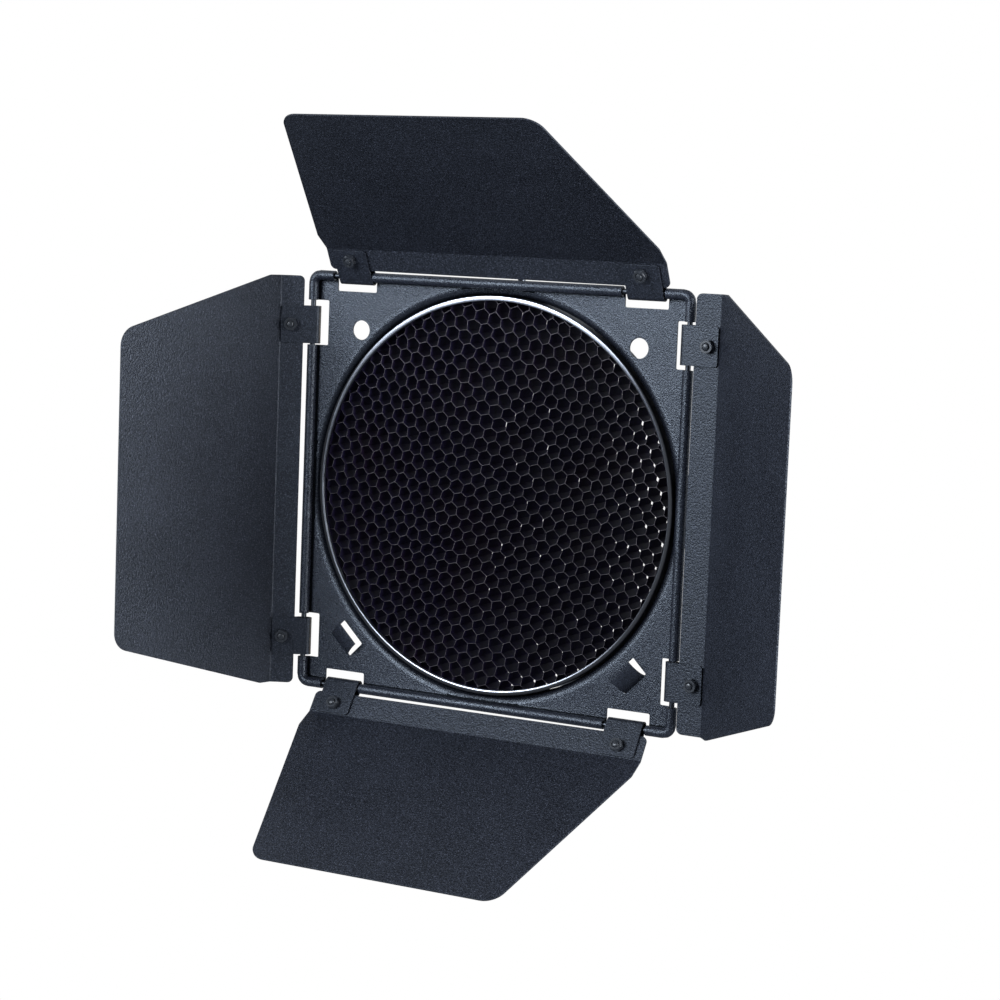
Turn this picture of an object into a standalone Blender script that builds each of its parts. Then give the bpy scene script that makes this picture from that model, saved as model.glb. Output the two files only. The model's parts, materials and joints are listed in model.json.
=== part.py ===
"""Four-leaf barn door set with a honeycomb grid, for an 18 cm studio flash reflector.

Frame: +X right and +Z up seen from the front; the front (the side the light leaves by)
faces -Y.  The origin is the centre of the opening, on the honeycomb's front face.
Sizes are in mm and become metres when a mesh is made.  Sizes along Y are written from
the plane of the hinge wire; the last step moves everything to the origin.
Each leaf is built at its resting angle, in its own hinge frame:
u along the wire, v from the wire out along the flange, n towards the leaf's front face.
"""
import math

import bmesh
import bpy
from mathutils import Matrix, Vector
from mathutils.geometry import delaunay_2d_cdt

MM = 0.001
SHEET = 0.7                 # frame and clip sheet
GAP = 0.3                   # clear gap between stacked parts

# ---------------------------------------------------------------- hinge wire and curled edge
WIRE_HALF = 95.2            # wire centre line, from the middle of the frame
WIRE_R = 1.2
WIRE_CORNER = 3.6           # bend radius of the wire at the four corners
WIRE_SIDES = 9
SIDE_STEPS, CORNER_STEPS = 12, 4
QUARTER_STEPS = SIDE_STEPS + CORNER_STEPS
CURL_OUT = 2.3              # outer radius of the curled edge: 195 mm over the frame
CURL_IN = CURL_OUT - SHEET
CURL_OPEN_DEG = 292.0       # how far the edge is curled round the wire
CURL_STEPS = 9
FLAT_END = 2.5              # the flat plate ends this far inside the wire centre line

# ---------------------------------------------------------------- plate and collar
PLATE_FRONT = 2.6
PLATE_BACK = PLATE_FRONT + SHEET
COLLAR_IN = 90.5            # inner radius: takes a 180 mm reflector rim
COLLAR_OUT = COLLAR_IN + SHEET
COLLAR_LIP = 4.2            # front radius of the drawn edge; less near the curled edge
LIP_CLEAR = 0.15            # least flat plate between the drawn edge and FLAT_END
LIP_STEPS = 4
COLLAR_END = 32.0           # y of the rear edge of the collar's four tongues
SPLIT_Y = (14.0, COLLAR_END + 3)    # the corner gaps between the tongues
SPLIT_RADIAL = (70, 100)
SPLIT_W = 104.0             # width of a corner gap, across the diagonal

NOTCH_U = 73.3              # centre of each notch along a side
NOTCH_W = 20.8
NOTCH_RADIAL = (88.3, WIRE_HALF + 6)
NOTCH_Y = (-6, 7)
PLATE_CUT_Y = (1, 6)        # cutters that pass through the plate only
HOLE_X, HOLE_Z = 70.5, 70.9     # round holes in the upper corners
HOLE_R = 4.5

WINDOW_IN, WINDOW_OUT = 98.2, 107.5     # lanced windows in the lower corners, radial limits
WINDOW_W = 14.2
CLAW_W = 12.6               # claw that stands out of each window
CLAW_RISE = 5.2             # free end, in front of the sheet's middle
CLAW_REACH = WINDOW_OUT - WINDOW_IN - 0.3
CLAW_HALF_T = SHEET / 2 - 0.04
CLAW_ROOT = ((1.4, 0.0), (0.1, -0.02))  # (beyond the window, y from the sheet's middle)
CLAW_STEPS, CLAW_POWER = 7, 0.85        # the power shapes the claw's curve

# ---------------------------------------------------------------- leaves
LEAF_T = 0.8
LEAF_N = 0.9                # middle plane of the flange, in front of the wire axis
LEAF_V0 = 4.28              # inner edge of the flange
LEAF_FOLD = 15.14           # fold line
LEAF_BEND = 1.6             # middle bend radius at the fold
ROOT_ROUND, ROOT_STEPS = 2.5, 3
TIP_ROUND, TIP_STEPS = 9.0, 6
BEND_STEPS = 4
# Half widths at root and tip; beyond the fold, the parallel part and the whole reach.
LONG = dict(fold_deg=48.2, root_half=95.4, tip_half=70.2, straight=6.5, reach=92.8)
SHORT = dict(fold_deg=26.7, root_half=85.2, tip_half=60.3, straight=9.9, reach=96.5)

# side: outward, flange angle at rest, slide along u, shape,
#       how much closer to the wire the flange edge stands at its (-u, +u) ends
LEAVES = {
    "top": ((0, 0, 1), 27.7, 1.3, SHORT, (0.0, 0.8)),
    "bottom": ((0, 0, -1), 33.7, -0.6, SHORT, (0.8, 0.0)),
    "left": ((-1, 0, 0), 27.4, -0.8, LONG, (0.0, 0.0)),
    "right": ((1, 0, 0), 1.0, -0.8, LONG, (1.1, 1.1)),
}

# ---------------------------------------------------------------- leaf clips and screws
CLIP_U = 73.0               # clip centre along the leaf
CLIP_W = 17.3
CLIP_BACK = 1.4             # centre of the hairpin bend, inward of the wire axis
CLIP_IN = 1.6               # half the gap between the legs at the wire
CLIP_STEPS = 6
CLIP_END_FRONT, CLIP_END_REAR = 14.5, 13.0
CLIP_JOG = (2.4, 5.6)       # v limits of the rear leg's step towards the leaf
CLIP_REAR = LEAF_N - LEAF_T / 2 - GAP       # front face of the rear leg at the screw
SCREW_V = 10.0
BORE_R = 1.8                # clearance for an M3 screw
BORE_N = (-3, 4)
SCREW_R = 1.5
SCREW_CHAMFER = 0.4
NUT_AF, NUT_H = 5.5, 2.4    # across flats, height
HEAD_R, HEAD_H = 2.8, 1.9
HEAD_FACE = CLIP_REAR - SHEET - GAP         # front face of the screw head
NUT_BASE = CLIP_IN + SHEET + GAP
NUT_TOP = NUT_BASE + NUT_H

# ---------------------------------------------------------------- honeycomb grid
BEAD_IN, BEAD_OUT = 87.8, 90.2      # rolled bead of the aluminium band
BEAD_DEGS = (70, 35, 0, -35, -70, -110)     # 0 is the front, 90 is outward
BAND_IN, BAND_OUT = 88.9, 90.0
GRID_FRONT, GRID_BACK = 1.9, 17.6
BAND_START = 0.6            # outer face of the band starts this far behind the bead centre
CORE_R, CORE_FRONT, CORE_BACK = 88.5, 4.6, 17.0
CORE_SIDES = 48
CORE_PITCH, CORE_WALL = 16.0, 0.6
CELL_MIN_EDGE = 0.25        # shorter edges of a clipped cell are merged
CELL_MIN_AREA = 0.06 * CORE_PITCH ** 2      # smaller cells are left solid

STOP_R, STOP_WIRE_R, STOP_Y = 89.35, 0.8, 18.8
STOP_START_DEG, STOP_SWEEP_DEG = 276, 348   # leaves a gap at the bottom
STOP_STEPS, STOP_SIDES = 40, 6

# ---------------------------------------------------------------- clamp screw, top of collar
LOCK_Y = 25.0
LOCK_HOLE_R, LOCK_HOLE_Z = 2.6, (85, 95)
LOCK_BORE_R = 2.3           # bore of the nut and the knob
LOCK_NUT_AF, LOCK_NUT_TOP = 8.0, COLLAR_OUT + 4.3
LOCK_SCREW_R = 1.95
LOCK_PAD_R, LOCK_PAD_Z0, LOCK_PAD_Z1 = 4.0, 88.5, 90.0
KNOB_Z0, KNOB_Z1, KNOB_R = 101.2, 111.2, 8.0
KNOB_EDGE = 1.2             # top chamfer, and thickness over the bore
KNOB_HUB_R = 4.6
KNOB_HUB_H, KNOB_FLARE_H = 1.6, 2.2     # top of the hub, start of the full radius
KNOB_SEGS = 24
FLUTES, FLUTE_DEPTH, FLUTE_MIN_R = 12, 0.07, 4  # depth is a share of the radius

# ---------------------------------------------------------------- materials
# name: (base colour, roughness, metallic)
FINISH = {
    "coat": ((0.055, 0.060, 0.075), 0.55, 0.2),
    "leaf": ((0.045, 0.050, 0.062), 0.55, 0.2),
    "clip": ((0.05, 0.055, 0.068), 0.5, 0.3),
    "zinc": ((0.30, 0.31, 0.33), 0.35, 0.9),
    "black_steel": ((0.06, 0.065, 0.075), 0.4, 0.7),
    "aluminium": ((0.70, 0.71, 0.73), 0.25, 1.0),
    "foil": ((0.02, 0.02, 0.024), 0.35, 0.6),
    "spring": ((0.35, 0.35, 0.36), 0.3, 1.0),
    "knob": ((0.02, 0.02, 0.02), 0.6, 0.0),
}


def new_material(name):
    """Each piece gets a material of its own, so that it can be changed alone."""
    rgb, roughness, metallic = FINISH[name]
    mat = bpy.data.materials.new(name)
    mat.use_nodes = True
    inputs = mat.node_tree.nodes["Principled BSDF"].inputs
    inputs["Base Color"].default_value = (*rgb, 1.0)
    inputs["Roughness"].default_value = roughness
    inputs["Metallic"].default_value = metallic
    mat.diffuse_color = (*rgb, 1.0)
    return mat


# ---------------------------------------------------------------- objects
def make(name, verts, faces, finish, parent=None, sharp_deg=35.0):
    """One object from points in mm; faces are turned to point out."""
    mesh = bpy.data.meshes.new(name)
    bm = bmesh.new()
    bm_verts = [bm.verts.new(Vector(p) * MM) for p in verts]
    for face in faces:
        bm.faces.new([bm_verts[i] for i in face])
    bmesh.ops.recalc_face_normals(bm, faces=bm.faces)
    if bm.calc_volume(signed=True) < 0:
        bmesh.ops.reverse_faces(bm, faces=bm.faces)
    bm.to_mesh(mesh)
    bm.free()
    mesh.shade_smooth()
    mesh.set_sharp_from_angle(angle=math.radians(sharp_deg))
    ob = bpy.data.objects.new(name, mesh)
    bpy.context.collection.objects.link(ob)
    if finish:
        mesh.materials.append(new_material(finish))
    ob.parent = parent
    return ob


def make_empty(name):
    ob = bpy.data.objects.new(name, None)
    bpy.context.collection.objects.link(ob)
    return ob


def cutter(name, verts, faces, parent=None):
    ob = make(name, verts, faces, None, parent)
    ob.hide_render = True
    ob.display_type = "WIRE"
    return ob


def boolean(target, other, operation="DIFFERENCE"):
    mod = target.modifiers.new(other.name, "BOOLEAN")
    mod.object = other
    mod.operation = operation
    mod.solver = "EXACT"


# ---------------------------------------------------------------- shapes, as (verts, faces)
def axis_along_y(x=0.0, z=0.0):
    """Place function for turn(): (radius, angle, height) about a line along Y."""
    return lambda r, t, h: (x + r * math.cos(t), h, z + r * math.sin(t))


def axis_along_z(x, y):
    """The same about a line along Z, or along n when x, y are a leaf's u, v."""
    return lambda r, t, h: (x + r * math.cos(t), y + r * math.sin(t), h)


def tube(rings, closed_path=False):
    """Rings of equal length joined one after the other, capped unless the path is closed."""
    count, size = len(rings), len(rings[0])
    verts = [p for ring in rings for p in ring]
    faces = []
    for i in range(count if closed_path else count - 1):
        a, b = i * size, ((i + 1) % count) * size
        for j in range(size):
            k = (j + 1) % size
            faces.append((a + j, a + k, b + k, b + j))
    if not closed_path:
        faces.append(tuple(range(size)))
        faces.append(tuple((count - 1) * size + j for j in range(size)))
    return verts, faces


def turn(profile, segs, place):
    """Turn a closed (radius, height) outline about an axis.
    A point with radius 0 becomes one vertex on the axis."""
    verts, rows = [], []
    for r, h in profile:
        if r < 1e-9:
            rows.append([len(verts)] * segs)
            verts.append(place(0.0, 0.0, h))
        else:
            rows.append([len(verts) + i for i in range(segs)])
            verts += [place(r, 2 * math.pi * i / segs, h) for i in range(segs)]
    faces = []
    for row, after in zip(rows, rows[1:] + rows[:1]):
        for i in range(segs):
            j = (i + 1) % segs
            face = tuple(dict.fromkeys((row[i], row[j], after[j], after[i])))
            if len(face) > 2:
                faces.append(face)
    return verts, faces


def cylinder(radius, h0, h1, segs, place):
    return turn([(0, h0), (radius, h0), (radius, h1), (0, h1)], segs, place)


def hex_nut(across_flats, h0, h1, bore, place):
    """Hexagon nut with a round bore; its points alternate between corner and mid-flat."""
    verts, faces = [], []
    segs = 12
    flat = across_flats / 2
    corner = flat / math.cos(math.pi / 6)
    angles = [2 * math.pi * k / segs for k in range(segs)]
    for h in (h0, h1):
        verts += [place(flat if k % 2 else corner, t, h) for k, t in enumerate(angles)]
        verts += [place(bore, t, h) for t in angles]
    for k in range(segs):
        j = (k + 1) % segs
        faces += [(k, j, segs + j, segs + k),
                  (2 * segs + k, 3 * segs + k, 3 * segs + j, 2 * segs + j),
                  (k, 2 * segs + k, 2 * segs + j, j),
                  (segs + k, segs + j, 3 * segs + j, 3 * segs + k)]
    return verts, faces


def orient(points, outward, along):
    """Carry points (outward, y, along) to their place on the frame."""
    return [tuple(outward * x + along * z + Vector((0, y, 0))) for x, y, z in points]


def block(radial, span_y, span_along, outward, along):
    """Box between three pairs of limits, turned to face outward."""
    corners = [(x, y, z) for x in radial for y in span_y for z in span_along]
    faces = [(0, 1, 3, 2), (4, 6, 7, 5), (0, 4, 5, 1), (2, 3, 7, 6), (0, 2, 6, 4), (1, 5, 7, 3)]
    return orient(corners, outward, along), faces


# ---------------------------------------------------------------- path round the frame
def frame_path():
    """Stations round the rounded square of the hinge wire: (point, outward, collar angle).
    The collar angle is where the same station meets the round collar, in degrees."""
    stations = []
    straight = WIRE_HALF - WIRE_CORNER
    half = 45.0 * SIDE_STEPS / QUARTER_STEPS
    for quarter in range(4):
        base = 90.0 * quarter
        c, s = math.cos(math.radians(base)), math.sin(math.radians(base))
        for i in range(SIDE_STEPS + 1):
            deg = -half + 2 * half * i / SIDE_STEPS
            u = straight * math.tan(math.radians(deg * 45.0 / half))
            point = (WIRE_HALF * c - u * s, WIRE_HALF * s + u * c)
            stations.append((point, (c, s), base + deg))
        for i in range(1, CORNER_STEPS):
            t = math.radians(base + 90.0 * i / CORNER_STEPS)
            out_x, out_z = math.cos(t), math.sin(t)
            point = (straight * (c - s) + WIRE_CORNER * out_x,
                     straight * (s + c) + WIRE_CORNER * out_z)
            collar_deg = base + half + (90.0 - 2 * half) * i / CORNER_STEPS
            stations.append((point, (out_x, out_z), collar_deg))
    return stations


def round_wire(radius, deg):
    """(outward, y) of a point round the wire: 0 is behind it, 90 outward, 180 in front."""
    t = math.radians(deg)
    return radius * math.sin(t), radius * math.cos(t)


def at_station(station, profile):
    """Points (outward, y) of a profile, carried to a station of the path."""
    (x, z), (out_x, out_z), _ = station
    return [(x + o * out_x, y, z + o * out_z) for o, y in profile]


# ---------------------------------------------------------------- frame plate
def collar_profile(lip):
    """Front and back faces of the collar and its drawn edge, as (radius, y)."""
    centre_r, centre_y = COLLAR_IN + lip, PLATE_FRONT + lip
    sides = []
    for start, bend in ((COLLAR_IN, lip), (COLLAR_OUT, lip - SHEET)):
        side = [(start, COLLAR_END)]
        for i in range(LIP_STEPS + 1):
            t = math.radians(90.0 * i / LIP_STEPS)
            side.append((centre_r - bend * math.cos(t), centre_y - bend * math.sin(t)))
        sides.append(side)
    return sides


def plate_ring(station):
    """Closed section of the sheet, from the collar's rear edge to the end of the curl."""
    (x, z), (out_x, out_z), collar_deg = station
    flat_end_r = math.hypot(x - FLAT_END * out_x, z - FLAT_END * out_z)
    lip = min(COLLAR_LIP, flat_end_r - COLLAR_IN - LIP_CLEAR)
    collar_front, collar_back = collar_profile(lip)
    c, s = math.cos(math.radians(collar_deg)), math.sin(math.radians(collar_deg))
    degs = [CURL_OPEN_DEG * i / CURL_STEPS for i in range(CURL_STEPS + 1)]
    edge_front = [(-FLAT_END, PLATE_FRONT)] + [round_wire(CURL_IN, d) for d in degs]
    edge_back = [(-FLAT_END, PLATE_BACK)] + [round_wire(CURL_OUT, d) for d in degs]
    return ([(r * c, y, r * s) for r, y in collar_front]
            + at_station(station, edge_front + edge_back[::-1])
            + [(r * c, y, r * s) for r, y in reversed(collar_back)])


def cut_notches(plate):
    for side in range(4):
        t = math.pi / 2 * side
        c, s = round(math.cos(t)), round(math.sin(t))
        for sign in (-1, 1):
            limits = (sign * NOTCH_U - NOTCH_W / 2, sign * NOTCH_U + NOTCH_W / 2)
            shape = block(NOTCH_RADIAL, NOTCH_Y, limits, Vector((c, 0, s)), Vector((-s, 0, c)))
            boolean(plate, cutter(f"cut_notch_{side}_{sign + 1}", *shape))


def claw(outward, along):
    """Rises forward from the outer side of the window, then levels out."""
    middle = (PLATE_FRONT + PLATE_BACK) / 2
    line = [(WINDOW_OUT + beyond, middle + y) for beyond, y in CLAW_ROOT]
    for i in range(1, CLAW_STEPS + 1):
        t = math.radians(90.0 * i / CLAW_STEPS)
        line.append((WINDOW_OUT - CLAW_REACH * (1 - math.cos(t)) ** CLAW_POWER,
                     middle - CLAW_RISE * math.sin(t)))
    one_face, other_face = [], []
    for i, point in enumerate(line):
        before = Vector(line[max(i - 1, 0)])
        after = Vector(line[min(i + 1, len(line) - 1)])
        tangent = (after - before).normalized()
        offset = Vector((-tangent.y, tangent.x)) * CLAW_HALF_T
        one_face.append(Vector(point) + offset)
        other_face.append(Vector(point) - offset)
    outline = one_face + other_face[::-1]
    return tube([orient([(p.x, p.y, w) for p in outline], outward, along)
                 for w in (-CLAW_W / 2, CLAW_W / 2)])


def cut_corner_features(plate):
    """Round holes in the upper corners; lanced windows with claws in the lower ones."""
    for sign in (-1, 1):
        place = axis_along_y(sign * HOLE_X, HOLE_Z)
        hole = cylinder(HOLE_R, *PLATE_CUT_Y, 24, place)
        boolean(plate, cutter(f"cut_hole_{sign + 1}", *hole))
        outward = Vector((sign, 0, -1)).normalized()
        along = Vector((outward.z, 0, -outward.x))
        window = block((WINDOW_IN, WINDOW_OUT), PLATE_CUT_Y, (-WINDOW_W / 2, WINDOW_W / 2),
                       outward, along)
        boolean(plate, cutter(f"cut_window_{sign + 1}", *window))
        boolean(plate, cutter(f"claw_{sign + 1}", *claw(outward, along)), "UNION")


def cut_splits(plate):
    """Corner gaps that leave the collar's rear part as four tongues."""
    for side in range(4):
        t = math.pi / 4 + math.pi / 2 * side
        outward = Vector((math.cos(t), 0, math.sin(t)))
        along = Vector((-outward.z, 0, outward.x))
        gap = block(SPLIT_RADIAL, SPLIT_Y, (-SPLIT_W / 2, SPLIT_W / 2), outward, along)
        boolean(plate, cutter(f"cut_split_{side}", *gap))


def build_plate(path):
    rings = [plate_ring(station) for station in path]
    plate = make("frame_plate", *tube(rings, closed_path=True), "coat", sharp_deg=40.0)
    cut_notches(plate)
    cut_corner_features(plate)
    cut_splits(plate)
    hole = cylinder(LOCK_HOLE_R, *LOCK_HOLE_Z, 16, axis_along_z(0.0, LOCK_Y))
    boolean(plate, cutter("cut_lock", *hole))


def build_wire(path):
    """The straight sides need no stations between their ends."""
    section = [round_wire(WIRE_R, 360 * j / WIRE_SIDES) for j in range(WIRE_SIDES)]
    rings = [at_station(station, section) for i, station in enumerate(path)
             if not 0 < i % QUARTER_STEPS < SIDE_STEPS]
    make("hinge_wire", *tube(rings, closed_path=True), "spring")


# ---------------------------------------------------------------- honeycomb grid
def build_grid_ring():
    """Aluminium band with a rolled bead at the front."""
    bead_r = (BEAD_OUT - BEAD_IN) / 2
    centre_r, centre_y = (BEAD_OUT + BEAD_IN) / 2, GRID_FRONT + bead_r
    profile = [(centre_r + bead_r * math.sin(math.radians(deg)),
                centre_y - bead_r * math.cos(math.radians(deg))) for deg in BEAD_DEGS]
    profile += [(BAND_IN, centre_y + bead_r), (BAND_IN, GRID_BACK),
                (BAND_OUT, GRID_BACK), (BAND_OUT, centre_y + BAND_START)]
    make("grid_ring", *turn(profile, 60, axis_along_y()), "aluminium", sharp_deg=50.0)


def edges_of(poly):
    return zip(poly, poly[1:] + poly[:1])


def clip_to_disc(poly, radius):
    """Part of a convex polygon inside the regular polygon that stands for the disc."""
    limit = radius * math.cos(math.pi / CORE_SIDES)
    for k in range(CORE_SIDES):
        t = 2 * math.pi * (k + 0.5) / CORE_SIDES
        normal_x, normal_z = math.cos(t), math.sin(t)
        kept = []
        for p, q in edges_of(poly):
            over_p = p[0] * normal_x + p[1] * normal_z - limit
            over_q = q[0] * normal_x + q[1] * normal_z - limit
            if over_p <= 0:
                kept.append(p)
            if over_p * over_q < 0:
                f = over_p / (over_p - over_q)
                kept.append((p[0] + f * (q[0] - p[0]), p[1] + f * (q[1] - p[1])))
        poly = kept
    return poly


def area(poly):
    return abs(sum(p[0] * q[1] - q[0] * p[1] for p, q in edges_of(poly))) / 2


def inside(point, poly):
    turns = [(q[0] - p[0]) * (point[1] - p[1]) - (q[1] - p[1]) * (point[0] - p[0])
             for p, q in edges_of(poly)]
    return all(a >= 0 for a in turns) or all(a <= 0 for a in turns)


def core_cells():
    """Hexagonal openings, (x, z): walls upright, rows level, one wall through the middle."""
    cells = []
    hex_r = (CORE_PITCH - CORE_WALL) / math.sqrt(3)
    row_step = CORE_PITCH * math.sqrt(3) / 2
    rows = int(CORE_R / row_step) + 2
    for j in range(-rows, rows + 1):
        for i in range(-rows - 2, rows + 3):
            x, z = (i + 0.5 + 0.5 * (j % 2)) * CORE_PITCH, j * row_step
            cell = [(x + hex_r * math.sin(math.pi / 3 * k), z + hex_r * math.cos(math.pi / 3 * k))
                    for k in range(6)]
            cell = clip_to_disc(cell, CORE_R - CORE_WALL)
            cell = [p for k, p in enumerate(cell) if math.dist(p, cell[k - 1]) > CELL_MIN_EDGE]
            if len(cell) > 2 and area(cell) > CELL_MIN_AREA:
                cells.append(cell)
    return cells


def build_core():
    """Disc pierced by the cells: triangulated flat, then given its depth."""
    cells = core_cells()
    angles = [2 * math.pi * k / CORE_SIDES for k in range(CORE_SIDES)]
    rim = [(CORE_R * math.cos(t), CORE_R * math.sin(t)) for t in angles]
    points, edges = [], []
    for loop in [rim] + cells:
        first = len(points)
        points += loop
        edges += [(first + i, first + (i + 1) % len(loop)) for i in range(len(loop))]
    flat, _, triangles, _, _, _ = delaunay_2d_cdt([Vector(p) for p in points], edges, [], 1, 1e-6)
    walls = []
    for face in triangles:
        centre = sum((Vector(flat[i]) for i in face), Vector((0, 0))) / len(face)
        if not any(inside(centre, cell) for cell in cells):
            walls.append(tuple(face))
    count = len(flat)
    verts = [(p[0], y, p[1]) for y in (CORE_FRONT, CORE_BACK) for p in flat]
    faces = walls + [tuple(i + count for i in reversed(face)) for face in walls]
    directed = dict.fromkeys(edge for face in walls for edge in edges_of(face))
    faces += [(a, b, b + count, a + count) for a, b in directed if (b, a) not in directed]
    make("honeycomb_core", verts, faces, "foil")


def build_stop_ring():
    """Open spring ring behind the grid, resting in the collar."""
    section = [2 * math.pi * k / STOP_SIDES for k in range(STOP_SIDES)]
    rings = []
    for i in range(STOP_STEPS + 1):
        t = math.radians(STOP_START_DEG + STOP_SWEEP_DEG * i / STOP_STEPS)
        ring = []
        for a in section:
            r = STOP_R + STOP_WIRE_R * math.cos(a)
            ring.append((r * math.cos(t), STOP_Y + STOP_WIRE_R * math.sin(a), r * math.sin(t)))
        rings.append(ring)
    make("grid_stop_ring", *tube(rings), "spring", sharp_deg=70.0)


# ---------------------------------------------------------------- leaves
def leaf_stations(shape):
    """(distance along the sheet, half width) from flange edge to tip, and the bend's marks."""
    fold = LEAF_FOLD - LEAF_V0
    root_half, straight, reach = shape["root_half"], shape["straight"], shape["reach"]
    stations = []
    for i in range(ROOT_STEPS + 1):
        t = math.pi / 2 * (1 - i / ROOT_STEPS)
        stations.append((ROOT_ROUND * (1 - math.sin(t)),
                         root_half - ROOT_ROUND * (1 - math.cos(t))))
    run = LEAF_BEND * math.tan(math.radians(shape["fold_deg"]) / 2)
    marks = [fold - run + 2 * run * i / BEND_STEPS for i in range(BEND_STEPS + 1)]
    stations += [(mark, root_half) for mark in marks]
    stations.append((fold + straight, root_half))
    # rounded tip corner: tangent to the slanted side and to the tip edge
    slope = math.atan2(root_half - shape["tip_half"], reach - straight)
    sweep = math.pi / 2 - slope
    centre_s = fold + reach - TIP_ROUND
    centre_u = shape["tip_half"] - TIP_ROUND * math.tan(sweep / 2)
    for i in range(TIP_STEPS + 1):
        t = slope + sweep * i / TIP_STEPS
        stations.append((centre_s + TIP_ROUND * math.sin(t), centre_u + TIP_ROUND * math.cos(t)))
    return stations, marks


def leaf_middle(s, marks, fold):
    """Middle point of the sheet and its normal, in (v, n), at a distance along it."""
    if s <= marks[0] + 1e-6:
        return Vector((LEAF_V0 + s, LEAF_N)), Vector((0, 1))
    if s >= marks[-1] - 1e-6:
        d = s - (LEAF_FOLD - LEAF_V0)
        t = fold
        point = Vector((LEAF_FOLD + d * math.cos(t), LEAF_N + d * math.sin(t)))
    else:
        t = (s - marks[0]) / (marks[-1] - marks[0]) * fold
        point = Vector((LEAF_V0 + marks[0] + LEAF_BEND * math.sin(t),
                        LEAF_N + LEAF_BEND * (1 - math.cos(t))))
    return point, Vector((-math.sin(t), math.cos(t)))


def build_leaf(name, hinge, shape, edge_shift):
    stations, marks = leaf_stations(shape)
    shift_minus, shift_plus = edge_shift
    rings = []
    for s, half in stations:
        middle, normal = leaf_middle(s, marks, math.radians(shape["fold_deg"]))
        front, rear = middle + normal * LEAF_T / 2, middle - normal * LEAF_T / 2
        fade = max(0.0, 1 - s / marks[0])       # the edge shift dies out at the bend
        ring = []
        for u, p in ((-half, front), (half, front), (half, rear), (-half, rear)):
            share = (1 + u / shape["root_half"]) / 2
            shift = shift_minus + (shift_plus - shift_minus) * share
            ring.append((u, p.x - fade * shift, p.y))
        rings.append(ring)
    return make(name, *tube(rings), "leaf", hinge)


def clip_outline():
    """Hairpin clip in (v, n): round the wire, one leg before the leaf and one behind it."""
    bend = CLIP_IN + SHEET / 2
    line = [(CLIP_END_FRONT, bend), (-CLIP_BACK, bend)]
    for i in range(1, CLIP_STEPS):
        t = math.pi / 2 + math.pi * i / CLIP_STEPS
        line.append((-CLIP_BACK + bend * math.cos(t), bend * math.sin(t)))
    rear = CLIP_REAR - SHEET / 2
    line += [(-CLIP_BACK, -bend), (CLIP_JOG[0], -bend), (CLIP_JOG[1], rear),
             (CLIP_END_REAR, rear)]
    line = [Vector(p) for p in line]
    steps = [(q - p).normalized() for p, q in zip(line, line[1:])]
    one_face, other_face = [], []
    for point, before, after in zip(line, steps[:1] + steps, steps + steps[-1:]):
        tangent = (before + after).normalized()
        mitre = SHEET / 2 / max(tangent.dot(before), 0.5)
        offset = Vector((-tangent.y, tangent.x)) * mitre
        one_face.append(point + offset)
        other_face.append(point - offset)
    return one_face + other_face[::-1]


def build_clip(side, hand, u, hinge, panel):
    """A clip with its screw and nut, and the bore through clip and leaf."""
    rings = [[(w, p.x, p.y) for p in clip_outline()] for w in (u - CLIP_W / 2, u + CLIP_W / 2)]
    clip = make(f"{side}_clip_{hand}", *tube(rings), "clip", hinge, sharp_deg=50.0)
    place = axis_along_z(u, SCREW_V)
    bore = cutter(f"cut_{side}_{hand}", *cylinder(BORE_R, *BORE_N, 12, place), hinge)
    boolean(clip, bore)
    boolean(panel, bore)
    thread_end = NUT_TOP + GAP
    profile = [(0, HEAD_FACE - HEAD_H), (HEAD_R * 0.7, HEAD_FACE - HEAD_H),
               (HEAD_R, HEAD_FACE - HEAD_H * 0.5), (HEAD_R, HEAD_FACE),
               (SCREW_R, HEAD_FACE), (SCREW_R, thread_end),
               (SCREW_R - SCREW_CHAMFER, thread_end + SCREW_CHAMFER),
               (0, thread_end + SCREW_CHAMFER)]
    make(f"{side}_screw_{hand}", *turn(profile, 10, place), "black_steel", hinge)
    nut = hex_nut(NUT_AF, NUT_BASE, NUT_TOP, BORE_R, place)
    make(f"{side}_nut_{hand}", *nut, "black_steel", hinge)


def make_hinge(side, outward, angle_deg):
    """Empty on the wire whose axes are the leaf's u, v, n."""
    front = Vector((0, -1, 0))
    t = math.radians(angle_deg)
    v_axis = outward * math.cos(t) + front * math.sin(t)
    n_axis = -outward * math.sin(t) + front * math.cos(t)
    matrix = Matrix((v_axis.cross(n_axis), v_axis, n_axis)).transposed().to_4x4()
    matrix.translation = outward * WIRE_HALF * MM
    hinge = make_empty(side + "_hinge")
    hinge.matrix_world = matrix
    return hinge


def build_leaves():
    for side, (outward, angle_deg, slide, shape, edge_shift) in LEAVES.items():
        hinge = make_hinge(side, Vector(outward), angle_deg)
        panel = build_leaf(side + "_leaf", hinge, shape, edge_shift)
        for sign, hand in ((-1, "a"), (1, "b")):
            build_clip(side, hand, sign * CLIP_U, hinge, panel)
        for ob in hinge.children:
            ob.location.x = slide * MM


# ---------------------------------------------------------------- clamp screw
def build_lock():
    place = axis_along_z(0.0, LOCK_Y)
    nut = hex_nut(LOCK_NUT_AF, COLLAR_OUT + GAP, LOCK_NUT_TOP, LOCK_BORE_R, place)
    make("lock_nut", *nut, "black_steel")
    axis = make_empty("lock_axis")
    pad = cylinder(LOCK_PAD_R, LOCK_PAD_Z0, LOCK_PAD_Z1, 16, place)
    make("lock_pad", *pad, "spring", axis)
    screw = cylinder(LOCK_SCREW_R, LOCK_PAD_Z1 + GAP, KNOB_Z1 - KNOB_EDGE - GAP, 12, place)
    make("lock_screw", *screw, "zinc", axis)
    build_knob(place, axis)


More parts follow.
